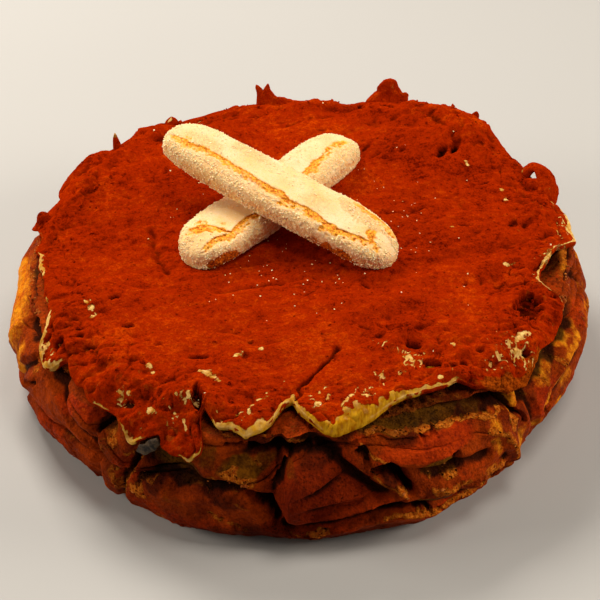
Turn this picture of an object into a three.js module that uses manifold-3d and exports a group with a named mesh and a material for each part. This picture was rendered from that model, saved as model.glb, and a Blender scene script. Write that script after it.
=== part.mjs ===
// A round tiramisu turned out of its ring: soaked sponge and cream in layers, a ragged layer of
// mascarpone cream under cocoa on top, and two crossed ladyfingers lying on it.
// Millimetres, +Z up. The origin is the centre of the underside; the front of the cake faces -Y.
import * as THREE from 'three';
import Module from 'manifold-3d';

// Driving sizes
const TOP_HEIGHT = 55;
const BODY_TOP = 50.5;
const LAYER_GAP = 0.3;
const LIP_THICKNESS = 4.6;
const INNER_RING = 94;
const MM_PER_DEGREE = 1.99;
const FRONT_STEPS = 72;
const BACK_STEPS = 26;
const FINGER_LENGTH = 107;
const FINGER_WIDTH = 27.5;
const FINGER_HEIGHT = 12;

// Radius of the bare wall at each height, and radius and height of the cream's outer skin
const WALL_PROFILE = [
  [0, 105], [3, 110.5], [10, 113.5], [26, 115.5], [35, 114.3], [42, 111], [47, 107], [52, 102.5],
];
const SKIN_PROFILE = [
  [0, 0, 55], [97, 97, 55], [105.6, 105, 52], [111.4, 109.4, 48.2], [118.6, 113.2, 42],
  [126, 115.4, 35], [134, 116.4, 27],
];

// Height of the joint between two layers where it reaches the wall: angle, height
const BAND_TOP = [
  [-180, 16], [-150, 17], [-135, 20], [-127, 21], [-121, 22], [-112, 27], [-105, 30], [-100, 28],
  [-96, 21], [-92, 12.5], [-86, 15], [-79, 17.5], [-72, 18.5], [-64, 15], [-50, 13], [-20, 14],
  [30, 17], [75, 14], [120, 17], [155, 15], [180, 16],
];
const SLAB_TOP = [
  [-180, 42], [-152, 41], [-143, 40], [-134, 38], [-128, 33], [-122, 25], [-112, 29.5], [-100, 31],
  [-96, 33], [-92, 41], [-88, 44], [-78, 44.5], [-72, 44], [-64, 42.5], [-57, 40], [-50, 38], [-44, 42],
  [0, 42], [60, 41], [120, 43], [180, 42],
];
const FILLING_TOP = [
  [-180, 46], [-128, 45], [-96, 45.5], [-88, 46.4], [-78, 46.8], [-50, 46], [0, 45.5], [90, 46.3],
  [180, 46],
];

// How far the cream reaches, measured from the centre along its skin: angle, reach
const CREAM_EDGE = [
  [-180, 106], [-177, 103.5], [-172, 103.5], [-167, 101], [-163, 102.5], [-160, 101], [-157, 103],
  [-154, 107], [-152, 114], [-149, 118.5], [-146.4, 117], [-144.6, 112], [-143, 108.5], [-140.5, 111.5],
  [-138, 113.5], [-136, 112.2], [-134, 114.5], [-131.8, 114], [-129, 113.4], [-126.2, 113.8],
  [-124.4, 117], [-123.2, 120.6], [-122, 121.2], [-120.8, 119], [-119, 116], [-116.4, 113.9],
  [-115.9, 118.4], [-114.6, 119.2], [-113.4, 119.8], [-111.6, 118.8], [-110.2, 120.6], [-109.2, 118.2],
  [-107.9, 115.5], [-107.4, 101], [-107, 97.5], [-105.7, 101.5], [-105, 105], [-103.2, 103.5],
  [-101.6, 105], [-100.2, 106.6], [-98.8, 104.8], [-97, 102.9], [-95.6, 100], [-94.5, 95],
  [-93.4, 91.4], [-91.6, 89.3], [-90.2, 94.4], [-88.8, 98], [-87.2, 101], [-85.2, 105], [-83.4, 106],
  [-81.4, 105.2], [-78.4, 103], [-75, 100.8], [-71.2, 98], [-68, 96.8], [-63, 97.2], [-58, 98.4],
  [-54.5, 98.8], [-52, 104.5], [-48.4, 109], [-45, 113], [-40.5, 115.6], [-37.5, 113], [-33, 109],
  [-30, 110.4], [-27.5, 111.6], [-23, 110.6], [-20, 109.2], [-17.8, 106], [-16.4, 102.5], [-15.6, 97],
  [-13, 94.6], [-8, 94.2], [-3.5, 94.8], [-0.8, 96.5], [1.4, 102], [4, 109], [8, 106.5], [13, 111],
  [20, 109], [27, 111], [33, 106], [39, 108], [46, 110], [53, 113], [60, 111], [66, 113.5], [74, 109],
  [81, 111.5], [88, 107], [95, 110.5], [101, 107.5], [108, 109.5], [114, 106], [121, 110.5],
  [127, 111.5], [133, 107], [140, 109.5], [145, 113], [150, 107], [156, 113.5], [161, 105.5],
  [166, 112], [171, 109], [176, 104], [180, 106],
];

// The right front is tucked in above the foot: angle, half-width, depth, height where it ends
const FOOT_TUCK = [-42, 34, 4, 17];

// Slow swellings of the round outline: angle, half-width, at the foot, at the middle, at the rim
const SWELLINGS = [
  [-160, 18, 2.5, 1.6, 0.5], [-138, 10, -1.5, -0.5, 0], [-112, 26, 0.2, 0.2, 1],
  [-88, 16, -1.5, -0.5, 0], [-54, 24, 0.8, 0.8, -0.3], [-35, 24, -3.6, -3, -1.2],
  [5, 20, -0.4, -0.6, 5.5], [16, 12, 0, 0, 2.5], [31, 14, 1, 1, 5], [51, 19, 1, 1.5, 10],
  [76, 18, 0, 0, 4], [96, 22, 0, 0, 3], [127, 18, 0, 0, 4], [148, 14, 0, 0.5, 5], [171, 16, 0, -1, 1],
];
const RIM_LIFTS = [
  [51, 22, 8.2], [68, 16, 5], [30, 12, 0.6], [90, 16, 1.8], [107, 14, 2.2], [128, 14, 1.2],
  [148, 14, 2], [-100, 18, -0.8], [-128, 14, -1.2],
];

// Folds of the wall. Each crease or ridge is a path of [angle, height] with its half-width and height
const CREASES = [
  { path: [
    [-121, 22], [-112, 27], [-105, 30], [-100, 28], [-96, 21], [-92, 12.5],
  ], width: 2.6, rise: -5 },
  { path: [
    [-92, 12.5], [-86, 15], [-79, 17.5], [-72, 18.5], [-64, 15], [-50, 13],
  ], width: 2.6, rise: -5 },
  { path: [[-180, 16], [-150, 17], [-135, 20], [-125, 21]], width: 2.6, rise: -2.5 },
  { path: [
    [-50, 13], [-20, 14], [30, 17], [75, 14], [120, 17], [155, 15], [180, 16],
  ], width: 3, rise: -3 },
  { path: [[-121, 38], [-123, 25], [-125, 12], [-126.5, 0]], width: 1.8, rise: -3.5 },
  { path: [[-129, 24], [-136, 30], [-141, 37], [-149, 42], [-160, 44]], width: 2.6, rise: -4.5 },
  { path: [[-99, 45], [-95.5, 43.8], [-91.5, 43.8], [-88.6, 45.4]], width: 1.7, rise: -5 },
  { path: [[-76.4, 36.4], [-73.8, 37.4], [-71.8, 33], [-70.2, 27]], width: 2, rise: -6.5 },
  { path: [[-73, 36], [-68, 34], [-60, 31], [-54, 29]], width: 2.2, rise: -3 },
  { path: [
    [-79, 51], [-72, 50.4], [-65, 49], [-58, 47], [-51, 44.6], [-46, 43],
  ], width: 2.6, rise: -6.5 },
  { path: [[-53, 39], [-49, 34], [-46, 22], [-45, 12]], width: 3, rise: 3 },
  { path: [[-43, 46], [-40, 34], [-38, 20], [-37, 8]], width: 2.6, rise: -3 },
  { path: [[-42, 38.5], [-35, 40.5], [-27, 41], [-18, 42]], width: 1.8, rise: -2 },
  { path: [[-24, 46], [-30, 36], [-35, 26]], width: 2.2, rise: -1.6 },
  { path: [[-4, 46], [-2, 26], [-3, 6]], width: 2.6, rise: -1.5 },
  { path: [[-152, 40], [-158, 24], [-161, 6]], width: 2.6, rise: -3 },
  { path: [[-163, 40], [-168, 22], [-172, 8]], width: 3, rise: 1.5 },
  { path: [[-131, 34], [-131, 20], [-133, 4]], width: 2.4, rise: -2.5 },
  { path: [[-85.5, 45.5], [-79.8, 37], [-74, 27]], width: 3, rise: -4.5 },
  { path: [[-88.5, 47], [-90.4, 39], [-92, 28], [-92.2, 14]], width: 3, rise: 3 },
  { path: [[-91, 30], [-88, 32], [-84.5, 35.5]], width: 1.6, rise: -2 },
];

// Folds round the back, which the picture hides: the same kind as on the right side
const BACK_FOLDS = [
  [14, 4, -2.6], [33, -5, -3], [52, 3, -2.4], [71, 5, -3.2],
  [95, -4, -2.6], [117, 5, -3], [138, -3, -2.6], [159, 4, -3],
];
for (const [angle, lean, rise] of BACK_FOLDS) {
  CREASES.push({ path: [[angle, 45], [angle + lean, 28], [angle + lean / 2, 7]], width: 2.8, rise });
  CREASES.push({ path: [[angle + 9, 44], [angle + 9 + lean, 26], [angle + 10, 9]], width: 3.4, rise: 2 });
}

// Hollows and swellings of the wall: angle, height, half-width, half-height, rise
const HOLLOWS = [
  [-115.5, 32, 15, 9, -9], [-118, 40, 8, 5, -4], [-100, 40, 13, 10, -5], [-94, 44, 4, 6, -4],
  [-129, 39, 6, 6, -6], [-143, 44, 4, 4, -4], [-63, 32, 9, 4, -3.5], [-63, 41.5, 26, 8, 3],
  [-64, 24, 12, 5, 2.5], [-56, 19, 7, 5, 2], [-50, 17, 6, 5, 1.5], [-168, 40, 36, 12, 1.2],
  [-100, 8, 50, 8, 1.5], [-136, 38, 10, 8, 2.5],
];

// Dents and lumps of the cocoa-covered top: x, y, half-width, rise
const TOP_RELIEF = [
  [88, -39, 8, -5], [99, -17, 9, -3.5], [-37, -92, 4, -4], [45, -66, 9, -2.5], [38, -58, 7, 1.2],
  [56, -54, 9, 1.2], [62, 59, 9, -1.6], [52, 78, 12, -1.4], [27, 63, 8, -1.2], [67, 11, 7, -1],
  [-64, -51, 12, -1], [-36, -68, 12, -1.2], [-88, -62, 7, 1.5], [13, -65, 9, -0.8], [36, 93, 9, -1.4],
  [-10, -20, 14, -0.8], [-55, 10, 26, 0.8], [20, -40, 24, 0.8], [30, 20, 30, -0.6], [-60, 60, 20, 0.8],
  [86, 13, 8, -1.4], [86, 52, 10, 1.4], [-70, -20, 16, 0.6], [0, 85, 18, 0.7],
];

// Peaks pulled up when the cream was spread: points of the spine, then width and thickness at the foot and tip
const PEAKS = [
  { spine: [[-15.5, 103, 50], [-16.5, 105, 57], [-18.3, 106, 63]], foot: [8, 5], tip: [1.5, 1.2] },
  { spine: [[-13.5, 103, 50], [-13.5, 105, 58], [-14.2, 106, 64]], foot: [8, 5], tip: [1.4, 1.2] },
  { spine: [[40, 101, 50], [40.5, 104, 58], [41, 106, 65.5]], foot: [14, 7], tip: [4.5, 2.5] },
  { spine: [[44, 101, 50], [45.5, 103, 54.5], [47, 104.5, 57.5]], foot: [7, 5], tip: [1.6, 1.4] },
  { spine: [[-77.5, 70, 49], [-79.5, 71.5, 54.5], [-80, 72, 60]], foot: [4, 3], tip: [0.9, 0.9] },
  { spine: [[72, 83, 53], [75.5, 86, 59], [78, 88, 62.5]], foot: [6, 4], tip: [1.2, 1.2] },
  {
    spine: [
      [94, 50, 51], [97.5, 52, 56.2], [101.5, 52.5, 57.6], [106, 48, 56.6], [108.5, 41, 54], [107, 34, 49.5],
    ],
    foot: [2.6, 2.2],
    tip: [9, 5],
  },
];

// The crossed ladyfingers: middle of the base, turn in plan, slope along the length
const FINGERS = {
  ladyfinger_lower: { base: [-10.9, 25.3, 54], turn: 51.3, slope: 0, length: FINGER_LENGTH - 4, seed: 3 },
  ladyfinger_upper: { base: [-9.2, 12.6, 65.4], turn: 149.1, slope: 11.4, length: FINGER_LENGTH + 1, seed: 8 },
};

const RAD = Math.PI / 180;
const lerp = (a, b, t) => a + (b - a) * t;
const bell = (x) => (Math.abs(x) < 1 ? (1 - x * x) ** 2 : 0);
const angleBetween = (a, b) => ((((a - b + 180) % 360) + 360) % 360) - 180;
const smooth = (a, b, x) => {
  const t = Math.min(1, Math.max(0, (x - a) / (b - a)));
  return t * t * (3 - 2 * t);
};

// Straight-line lookup in a list of stations
function lookup(table, x, column = 1) {
  let i = 1;
  while (i < table.length - 1 && x > table[i][0]) i += 1;
  const [a, b] = [table[i - 1], table[i]];
  const t = Math.min(1, Math.max(0, (x - a[0]) / (b[0] - a[0])));
  return lerp(a[column], b[column], t);
}

// Distance on the unrolled wall from a point to a path
function pathDistance(path, angle, z) {
  let nearest = Infinity;
  for (let i = 1; i < path.length; i += 1) {
    const [a, b] = [path[i - 1], path[i]];
    const px = angleBetween(angle, a[0]) * MM_PER_DEGREE;
    const py = z - a[1];
    const bx = (b[0] - a[0]) * MM_PER_DEGREE;
    const by = b[1] - a[1];
    const t = Math.min(1, Math.max(0, (px * bx + py * by) / (bx * bx + by * by)));
    nearest = Math.min(nearest, Math.hypot(px - t * bx, py - t * by));
  }
  return nearest;
}

// How much the outline swells at an angle and height
function swelling(angle, z) {
  let total = 0;
  for (const [at, half, foot, middle, rim] of SWELLINGS) {
    const amount = z < 26 ? lerp(foot, middle, z / 26) : lerp(middle, rim, (z - 26) / 26);
    total += bell(angleBetween(angle, at) / half) * amount;
  }
  return total;
}

// Radius of the folded wall
function wallRadius(angle, z) {
  let r = lookup(WALL_PROFILE, z) + swelling(angle, z);
  for (const { path, width, rise } of CREASES) r += rise * bell(pathDistance(path, angle, z) / (2 * width));
  for (const [at, height, halfWidth, halfHeight, rise] of HOLLOWS) {
    const away = Math.hypot((angleBetween(angle, at) * MM_PER_DEGREE) / halfWidth, (z - height) / halfHeight);
    r += rise * bell(away * 0.8);
  }
  const [tuck, half, depth, top] = FOOT_TUCK;
  r -= depth * bell(angleBetween(angle, tuck) / half) * (1 - smooth(0, top, z));
  return r;
}

// Lift of the rim, fading inwards
function rimLift(angle, r) {
  let total = 0;
  for (const [at, half, lift] of RIM_LIFTS) total += lift * bell(angleBetween(angle, at) / half);
  return total * smooth(62, 104, r);
}

// Unevenness of the top
function topRelief(x, y) {
  let z = 0.5 * Math.sin(x / 17 + 1.3) * Math.cos(y / 21 - 0.4) + 0.35 * Math.sin((x + y) / 11 + 0.7);
  for (const [cx, cy, half, rise] of TOP_RELIEF) z += rise * bell(Math.hypot(x - cx, y - cy) / (1.3 * half));
  return z;
}

// A point of the cream's outer skin, moved inwards by a depth
function skinPoint(angle, s, depth = 0) {
  const step = 0.5;
  const at = (q) => [lookup(SKIN_PROFILE, q, 1), lookup(SKIN_PROFILE, q, 2)];
  const [r0, z0] = at(Math.max(0, s - step));
  const [r1, z1] = at(s + step);
  const [r, z] = at(s);
  const length = Math.hypot(r1 - r0, z1 - z0);
  const outR = (z0 - z1) / length;
  const outZ = (r1 - r0) / length;
  const stretch = swelling(angle, z) * smooth(55, 100, s);
  const radius = r + stretch - depth * outR;
  const c = Math.cos(angle * RAD);
  const d = Math.sin(angle * RAD);
  const fade = depth > 0 ? 0 : 1;
  const lift = rimLift(angle, r) + fade * topRelief(radius * c, radius * d) * (1 - smooth(100, 108, s));
  return [radius * c, radius * d, z + lift - depth * outZ];
}

// Angles of the grid, closer together over the front
const ANGLES = [];
for (let i = 0; i < FRONT_STEPS; i += 1) ANGLES.push(-180 + (180 * i) / FRONT_STEPS);
for (let i = 0; i < BACK_STEPS; i += 1) ANGLES.push((180 * i) / BACK_STEPS);

// Closed body from rings of points, listed from the underside's centre to the top's centre
function ringBody(bottom, rings, top) {
  const n = rings[0].length;
  const position = [...bottom, ...rings.flat(2), ...top];
  const index = [];
  const last = rings.length * n + 1;
  const at = (k, i) => 1 + k * n + (i % n);
  for (let i = 0; i < n; i += 1) {
    index.push(0, at(0, i + 1), at(0, i));
    for (let k = 0; k + 1 < rings.length; k += 1) {
      index.push(at(k, i), at(k, i + 1), at(k + 1, i + 1));
      index.push(at(k, i), at(k + 1, i + 1), at(k + 1, i));
    }
    index.push(at(rings.length - 1, i), at(rings.length - 1, i + 1), last);
  }
  const geometry = new THREE.BufferGeometry();
  geometry.setAttribute('position', new THREE.Float32BufferAttribute(position, 3));
  geometry.setIndex(index);
  geometry.computeVertexNormals();
  return geometry;
}

const onWall = (angle, r, z) => [r * Math.cos(angle * RAD), r * Math.sin(angle * RAD), z];
const mean = (table) => table.reduce((sum, row) => sum + row[1], 0) / table.length;

// One layer of the cake, from the joint below it to the joint above it, grown by a margin
function layer({ low, high, rows, extra = () => 0, flatFoot = false, topRings = [] }, grow = 0) {
  const lowAt = (angle) => (flatFoot ? 0 : lookup(low, angle) + LAYER_GAP / 2 - grow);
  const brow = (angle) => BODY_TOP - 1.6 + rimLift(angle, 104);
  const highAt = (angle) => (high ? lookup(high, angle) - LAYER_GAP / 2 : brow(angle)) + grow;
  const rings = [];
  if (!flatFoot) rings.push(ANGLES.map((angle) => onWall(angle, INNER_RING, lowAt(angle))));
  for (let k = 0; k <= rows; k += 1) {
    rings.push(ANGLES.map((angle) => {
      const z = lerp(lowAt(angle), highAt(angle), k / rows);
      return onWall(angle, wallRadius(angle, z) + extra(angle, k / rows) + grow, z);
    }));
  }
  if (high) rings.push(ANGLES.map((angle) => onWall(angle, INNER_RING, highAt(angle))));
  for (const r of topRings) {
    rings.push(ANGLES.map((angle) => onWall(angle, r, BODY_TOP + grow + rimLift(angle, r))));
  }
  const bottom = [0, 0, flatFoot ? 0 : mean(low) + LAYER_GAP / 2 - grow];
  const top = [0, 0, high ? mean(high) - LAYER_GAP / 2 + grow : BODY_TOP + grow];
  return ringBody(bottom, rings, top);
}

// The torn edge of the upper sponge stands out past the filling on the right front
function tornEdge(angle, t) {
  const ledge = 0.6 * bell(angleBetween(angle, -62) / 22) + 2.5 * bell(angleBetween(angle, -94) / 6);
  return ledge * (0.6 + 0.4 * t) + 0.5 * Math.sin(angle * 1.9) + 0.4 * Math.sin(angle * 0.83 + t * 2);
}

const LAYERS = {
  sponge_base: { flatFoot: true, high: BAND_TOP, rows: 5, extra: (angle, t) => 1.2 * t },
  sponge_middle: { low: BAND_TOP, high: SLAB_TOP, rows: 8 },
  cream_filling: { low: SLAB_TOP, high: FILLING_TOP, rows: 3, extra: () => -1.2 },
  sponge_upper: { low: FILLING_TOP, rows: 2, extra: tornEdge, topRings: [98, 84, 55] },
};

// Cocoa-covered cream over everything, before the layers under it are cut away from it
function creamBlank() {
  const inner = [14, 28, 42, 54, 64, 73, 80];
  const outer = [0.3, 0.55, 0.75, 0.9, 1];
  const under = [[0, 0, BODY_TOP - 2.5]];
  const rings = [];
  rings.push(ANGLES.map((angle) => skinPoint(angle, 70, TOP_HEIGHT - BODY_TOP + 2.5)));
  const edge = (angle) => lookup(CREAM_EDGE, angle);
  rings.push(ANGLES.map((angle) => skinPoint(angle, Math.min(92, edge(angle) - 4), LIP_THICKNESS + 2)));
  rings.push(ANGLES.map((angle) => skinPoint(angle, edge(angle) - 0.6, LIP_THICKNESS)));
  rings.push(ANGLES.map((angle) => skinPoint(angle, edge(angle) + 0.6, LIP_THICKNESS / 2)));
  for (const f of [...outer].reverse()) {
    rings.push(ANGLES.map((angle) => skinPoint(angle, lerp(80, edge(angle), f), f === 1 ? 0.7 : 0)));
  }
  for (const s of [...inner].reverse()) rings.push(ANGLES.map((angle) => skinPoint(angle, s)));
  return ringBody(under[0], rings, [0, 0, TOP_HEIGHT + topRelief(0, 0)]);
}

// A tapering peak swept along its spine, flattened across
function peak({ spine, foot, tip }) {
  const curve = new THREE.CatmullRomCurve3(spine.map((p) => new THREE.Vector3(...p)));
  const steps = 2 * spine.length;
  const sides = 8;
  const rings = [];
  const outward = new THREE.Vector3(spine[0][0], spine[0][1], 0).normalize();
  for (let k = 0; k <= steps; k += 1) {
    const t = k / steps;
    const centre = curve.getPoint(t);
    const along = curve.getTangent(t);
    const across = new THREE.Vector3().crossVectors(along, outward).normalize();
    const through = new THREE.Vector3().crossVectors(along, across).normalize();
    const width = lerp(foot[0], tip[0], t) / 2;
    const depth = lerp(foot[1], tip[1], t) / 2;
    rings.push(Array.from({ length: sides }, (_, i) => {
      const turn = (2 * Math.PI * i) / sides;
      const p = centre.clone().addScaledVector(across, width * Math.cos(turn));
      return p.addScaledVector(through, depth * Math.sin(turn)).toArray();
    }));
  }
  return ringBody(curve.getPoint(0).toArray(), rings, curve.getPoint(1).toArray());
}

// A ladyfinger: flat base, low domed top with a shallow crack along it, rounded ends
function ladyfinger({ length, seed }, grow = 0) {
  const stations = 20;
  const sides = 18;
  const rings = [];
  for (let k = 1; k < stations; k += 1) {
    const u = -Math.cos((Math.PI * k) / stations);
    const ends = Math.sqrt(1 - Math.abs(u) ** 7);
    const wave = 0.93 + 0.04 * Math.sin(3 * u + seed);
    const half = (FINGER_WIDTH / 2) * wave * Math.sqrt(1 - Math.abs(u) ** 9) * (0.8 + 0.2 * ends);
    const height = FINGER_HEIGHT * (0.95 + 0.05 * Math.cos(4 * u + seed)) * (0.45 + 0.55 * ends);
    rings.push(Array.from({ length: sides }, (_, i) => {
      const turn = (2 * Math.PI * i) / sides;
      const c = Math.cos(turn);
      const s = Math.sin(turn);
      const across = Math.sign(c) * Math.abs(c) ** 0.62 * half;
      const up = s > 0 ? 0.42 + 0.58 * s ** 0.7 : 0.42 - 0.42 * Math.abs(s) ** 0.35;
      const crack = 0.9 * bell((across / half - 0.45) * 4) * (s > 0 ? 1 : 0) * bell(u / 0.95);
      return [u * (length / 2 + grow), across * (1 + grow / half), up * height - crack + grow * Math.sign(s)];
    }));
  }
  const end = length / 2 + grow;
  return ringBody([-end, 0, 0.35 * FINGER_HEIGHT], rings, [end, 0, 0.35 * FINGER_HEIGHT]);
}

function lay(object, { base, turn, slope }) {
  object.position.set(...base);
  object.rotation.set(0, -slope * RAD, turn * RAD, 'ZYX');
  object.updateMatrix();
  return object;
}

const wasm = await Module();
wasm.setup();

function toManifold(geometry) {
  const mesh = new wasm.Mesh({
    numProp: 3,
    vertProperties: new Float32Array(geometry.attributes.position.array),
    triVerts: new Uint32Array(geometry.index.array),
  });
  return new wasm.Manifold(mesh);
}

function fromManifold(solid) {
  const mesh = solid.getMesh();
  const geometry = new THREE.BufferGeometry();
  geometry.setAttribute('position', new THREE.Float32BufferAttribute(mesh.vertProperties, 3));
  geometry.setIndex(Array.from(mesh.triVerts));
  geometry.computeVertexNormals();
  return geometry;
}

const LOOKS = {
  sponge_base: [0x7a2e0c, 0.7],
  sponge_middle: [0x86340d, 0.65],
  cream_filling: [0x8a6a3c, 0.5],
  sponge_upper: [0x9a5a24, 0.85],
  cream_top: [0xa42501, 0.9],
  ladyfinger_lower: [0xf2cd93, 0.9],
  ladyfinger_upper: [0xf2cd93, 0.9],
};

const tiramisu = new THREE.Group();
tiramisu.name = 'tiramisu';

function addPart(name, geometry) {
  const [color, roughness] = LOOKS[name];
  const mesh = new THREE.Mesh(geometry, new THREE.MeshStandardMaterial({ color, roughness, metalness: 0 }));
  mesh.name = name;
  tiramisu.add(mesh);
  return mesh;
}

// Cut every layer below, grown by the joint's gap, out of a solid. Slivers that come loose are dropped
function clearOf(names, solid) {
  const grown = (name) => toManifold(layer(LAYERS[name], LAYER_GAP - 0.02));
  const cut = names.reduce((rest, name) => rest.subtract(grown(name)), solid);
  return cut.decompose().sort((a, b) => b.volume() - a.volume())[0];
}

const names = Object.keys(LAYERS);
names.forEach((name, i) => {
  addPart(name, fromManifold(clearOf(names.slice(Math.max(0, i - 2), i), toManifold(layer(LAYERS[name])))));
});
let cream = PEAKS.reduce((blank, shape) => blank.add(toManifold(peak(shape))), toManifold(creamBlank()));
for (const finger of Object.values(FINGERS)) {
  // The fingers press a shallow print into the cream
  const print = ladyfinger(finger, LAYER_GAP);
  cream = cream.subtract(toManifold(print.applyMatrix4(lay(new THREE.Object3D(), finger).matrix)));
}
addPart('cream_top', fromManifold(clearOf([...names].reverse(), cream)));

for (const [name, finger] of Object.entries(FINGERS)) lay(addPart(name, ladyfinger(finger)), finger);

export default tiramisu;
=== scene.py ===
# %% [markdown]
# A round tiramisu, turned out of its ring
#
# The cake is a stack of soaked sponge and cream with a ragged cover of mascarpone under cocoa, and two
# crossed ladyfingers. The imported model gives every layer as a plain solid. This lesson dresses each of
# them with a fine surface worked out with numpy, in the same frame. Lengths are written in millimetres
# and turned into metres when a mesh is made.

# %% Load the frame
import math
import bpy
import numpy as np
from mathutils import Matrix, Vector
from mathutils.geometry import delaunay_2d_cdt


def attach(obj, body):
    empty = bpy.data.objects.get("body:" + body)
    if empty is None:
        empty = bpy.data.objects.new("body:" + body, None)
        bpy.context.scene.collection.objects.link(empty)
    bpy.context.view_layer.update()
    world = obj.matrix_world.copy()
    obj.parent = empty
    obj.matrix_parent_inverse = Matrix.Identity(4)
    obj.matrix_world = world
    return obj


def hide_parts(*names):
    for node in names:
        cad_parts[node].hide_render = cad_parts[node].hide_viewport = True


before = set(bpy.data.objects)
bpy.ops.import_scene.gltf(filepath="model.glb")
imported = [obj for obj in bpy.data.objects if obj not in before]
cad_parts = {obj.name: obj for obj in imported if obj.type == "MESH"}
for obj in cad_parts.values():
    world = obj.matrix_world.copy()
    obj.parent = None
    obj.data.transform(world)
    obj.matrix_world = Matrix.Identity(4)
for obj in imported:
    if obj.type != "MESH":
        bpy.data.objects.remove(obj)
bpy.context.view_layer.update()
print("layers to dress:", ", ".join(sorted(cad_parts)))

# %% [markdown]
# Small mathematics first. A bell is a smooth bump with a definite end, so a dent made with it stays where
# it is put. A table is a short list of stations, and reading between them gives a slow line.

# %% Bells and tables
RAD = np.pi / 180


def bell(x):
    """One at the middle, zero from x = 1 outwards: the square of one less x squared."""
    return np.clip(1 - np.asarray(x) ** 2, 0, None) ** 2


def smooth(low, high, x):
    """Zero below low, one above high, and a cubic ease between."""
    t = np.clip((np.asarray(x, float) - low) / (high - low), 0, 1)
    return t * t * (3 - 2 * t)


def table(rows, x, column=1):
    """Straight-line reading of stations, kept as place: value or as rows with several columns."""
    rows = np.array(list(rows.items()) if isinstance(rows, dict) else rows, float)
    return np.interp(x, rows[:, 0], rows[:, column])


def around(rows, angle, soft=0.5):
    """A table round the cake with softened corners: a weighted mean of five readings soft degrees apart."""
    total = 0
    for step, weight in ((-2, 1), (-1, 3), (0, 4), (1, 3), (2, 1)):
        turned = (angle + step * soft + 180) % 360 - 180
        total = total + weight * table(rows, turned)
    return total / 12


def turn_between(a, b):
    """The signed angle from b to a, in degrees."""
    return (np.asarray(a) - b + 180) % 360 - 180


def near(angle, at, half):
    """A bell over the angles within half degrees of one angle."""
    return bell(turn_between(angle, at) / half)


# %% [markdown]
# Noise and foil both read random numbers, always from a fixed seed, at the corners of a lattice. Noise
# blends eight of them smoothly. The foil joins three with a flat triangle, as crumpled paper does.

# %% Noise and foil
def hashed(ix, iy, iz, seed):
    """A number from 0 to 1 for each lattice point: its three counts are multiplied, mixed and folded."""
    h = (ix * 374761393 + iy * 668265263 + iz * 1442695041 + seed * 144665) & 0xFFFFFFFF
    h = ((h ^ (h >> 13)) * 1274126177) & 0xFFFFFFFF
    h = ((h ^ (h >> 16)) * 1103515245) & 0xFFFFFFFF
    return ((h ^ (h >> 15)) & 0xFFFFFF) / float(0x1000000)


def noise(points, size, seed=0):
    """Smooth noise from -1 to 1 with features of one size: eight lattice values blended by a quintic."""
    p = np.asarray(points, float) / size
    base = np.floor(p)
    f = p - base
    f = f * f * f * (f * (f * 6 - 15) + 10)
    i = base.astype(np.int64)
    total = 0
    for dx in (0, 1):
        for dy in (0, 1):
            for dz in (0, 1):
                weight = (abs(1 - dx - f[..., 0]) * abs(1 - dy - f[..., 1]) * abs(1 - dz - f[..., 2]))
                total = total + weight * hashed(i[..., 0] + dx, i[..., 1] + dy, i[..., 2] + dz, seed)
    return 2 * total - 1


def rough(points, size, seed=0, octaves=3):
    """A few sizes of noise added, each half as large and half as strong as the last."""
    return sum(noise(points, size / 2 ** k, seed + 17 * k) / 2 ** k for k in range(octaves)) / 1.6


def facets(u, v, size, seed=0):
    """Crumpled foil from -1 to 1: random heights on a lattice of triangles, flat between them."""
    row = v / (0.866 * size)
    column = u / size - 0.5 * row
    a, b = np.floor(column).astype(np.int64), np.floor(row).astype(np.int64)
    x, y = column - a, row - b
    upper = x + y > 1
    corner = np.where(upper, hashed(a + 1, b + 1, 0 * a, seed), hashed(a, b, 0 * a, seed))
    right, up = hashed(a + 1, b, 0 * a, seed), hashed(a, b + 1, 0 * a, seed)
    wx, wy = np.where(upper, 1 - y, x), np.where(upper, 1 - x, y)
    return 2 * (corner * (1 - wx - wy) + right * wx + up * wy) - 1


# %% [markdown]
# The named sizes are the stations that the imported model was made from, so that every fine surface lies on
# its solid. Angles go round from +X, with the front of the cake at -90 degrees. The cream's skin is
# measured along its own profile, from the centre out and down.

# %% Named sizes of the cake
TOP_HEIGHT = 55.0
BODY_TOP = 50.5
JOINT = 0.3
MM_PER_DEGREE = 1.99
MEAN_RADIUS = 112.0
MM = 0.001
# The wall: height, radius. The cream's skin: distance, radius, height
WALL_PROFILE = [
    [0, 105], [3, 110.5], [10, 113.5], [26, 115.5], [35, 114.3], [42, 111], [47, 107], [52, 102.5],
]
SKIN_PROFILE = [
    [0, 0, 55], [97, 97, 55], [105.6, 105, 52], [111.4, 109.4, 48.2], [118.6, 113.2, 42], [126, 115.4, 35],
    [134, 116.4, 27],
]
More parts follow.
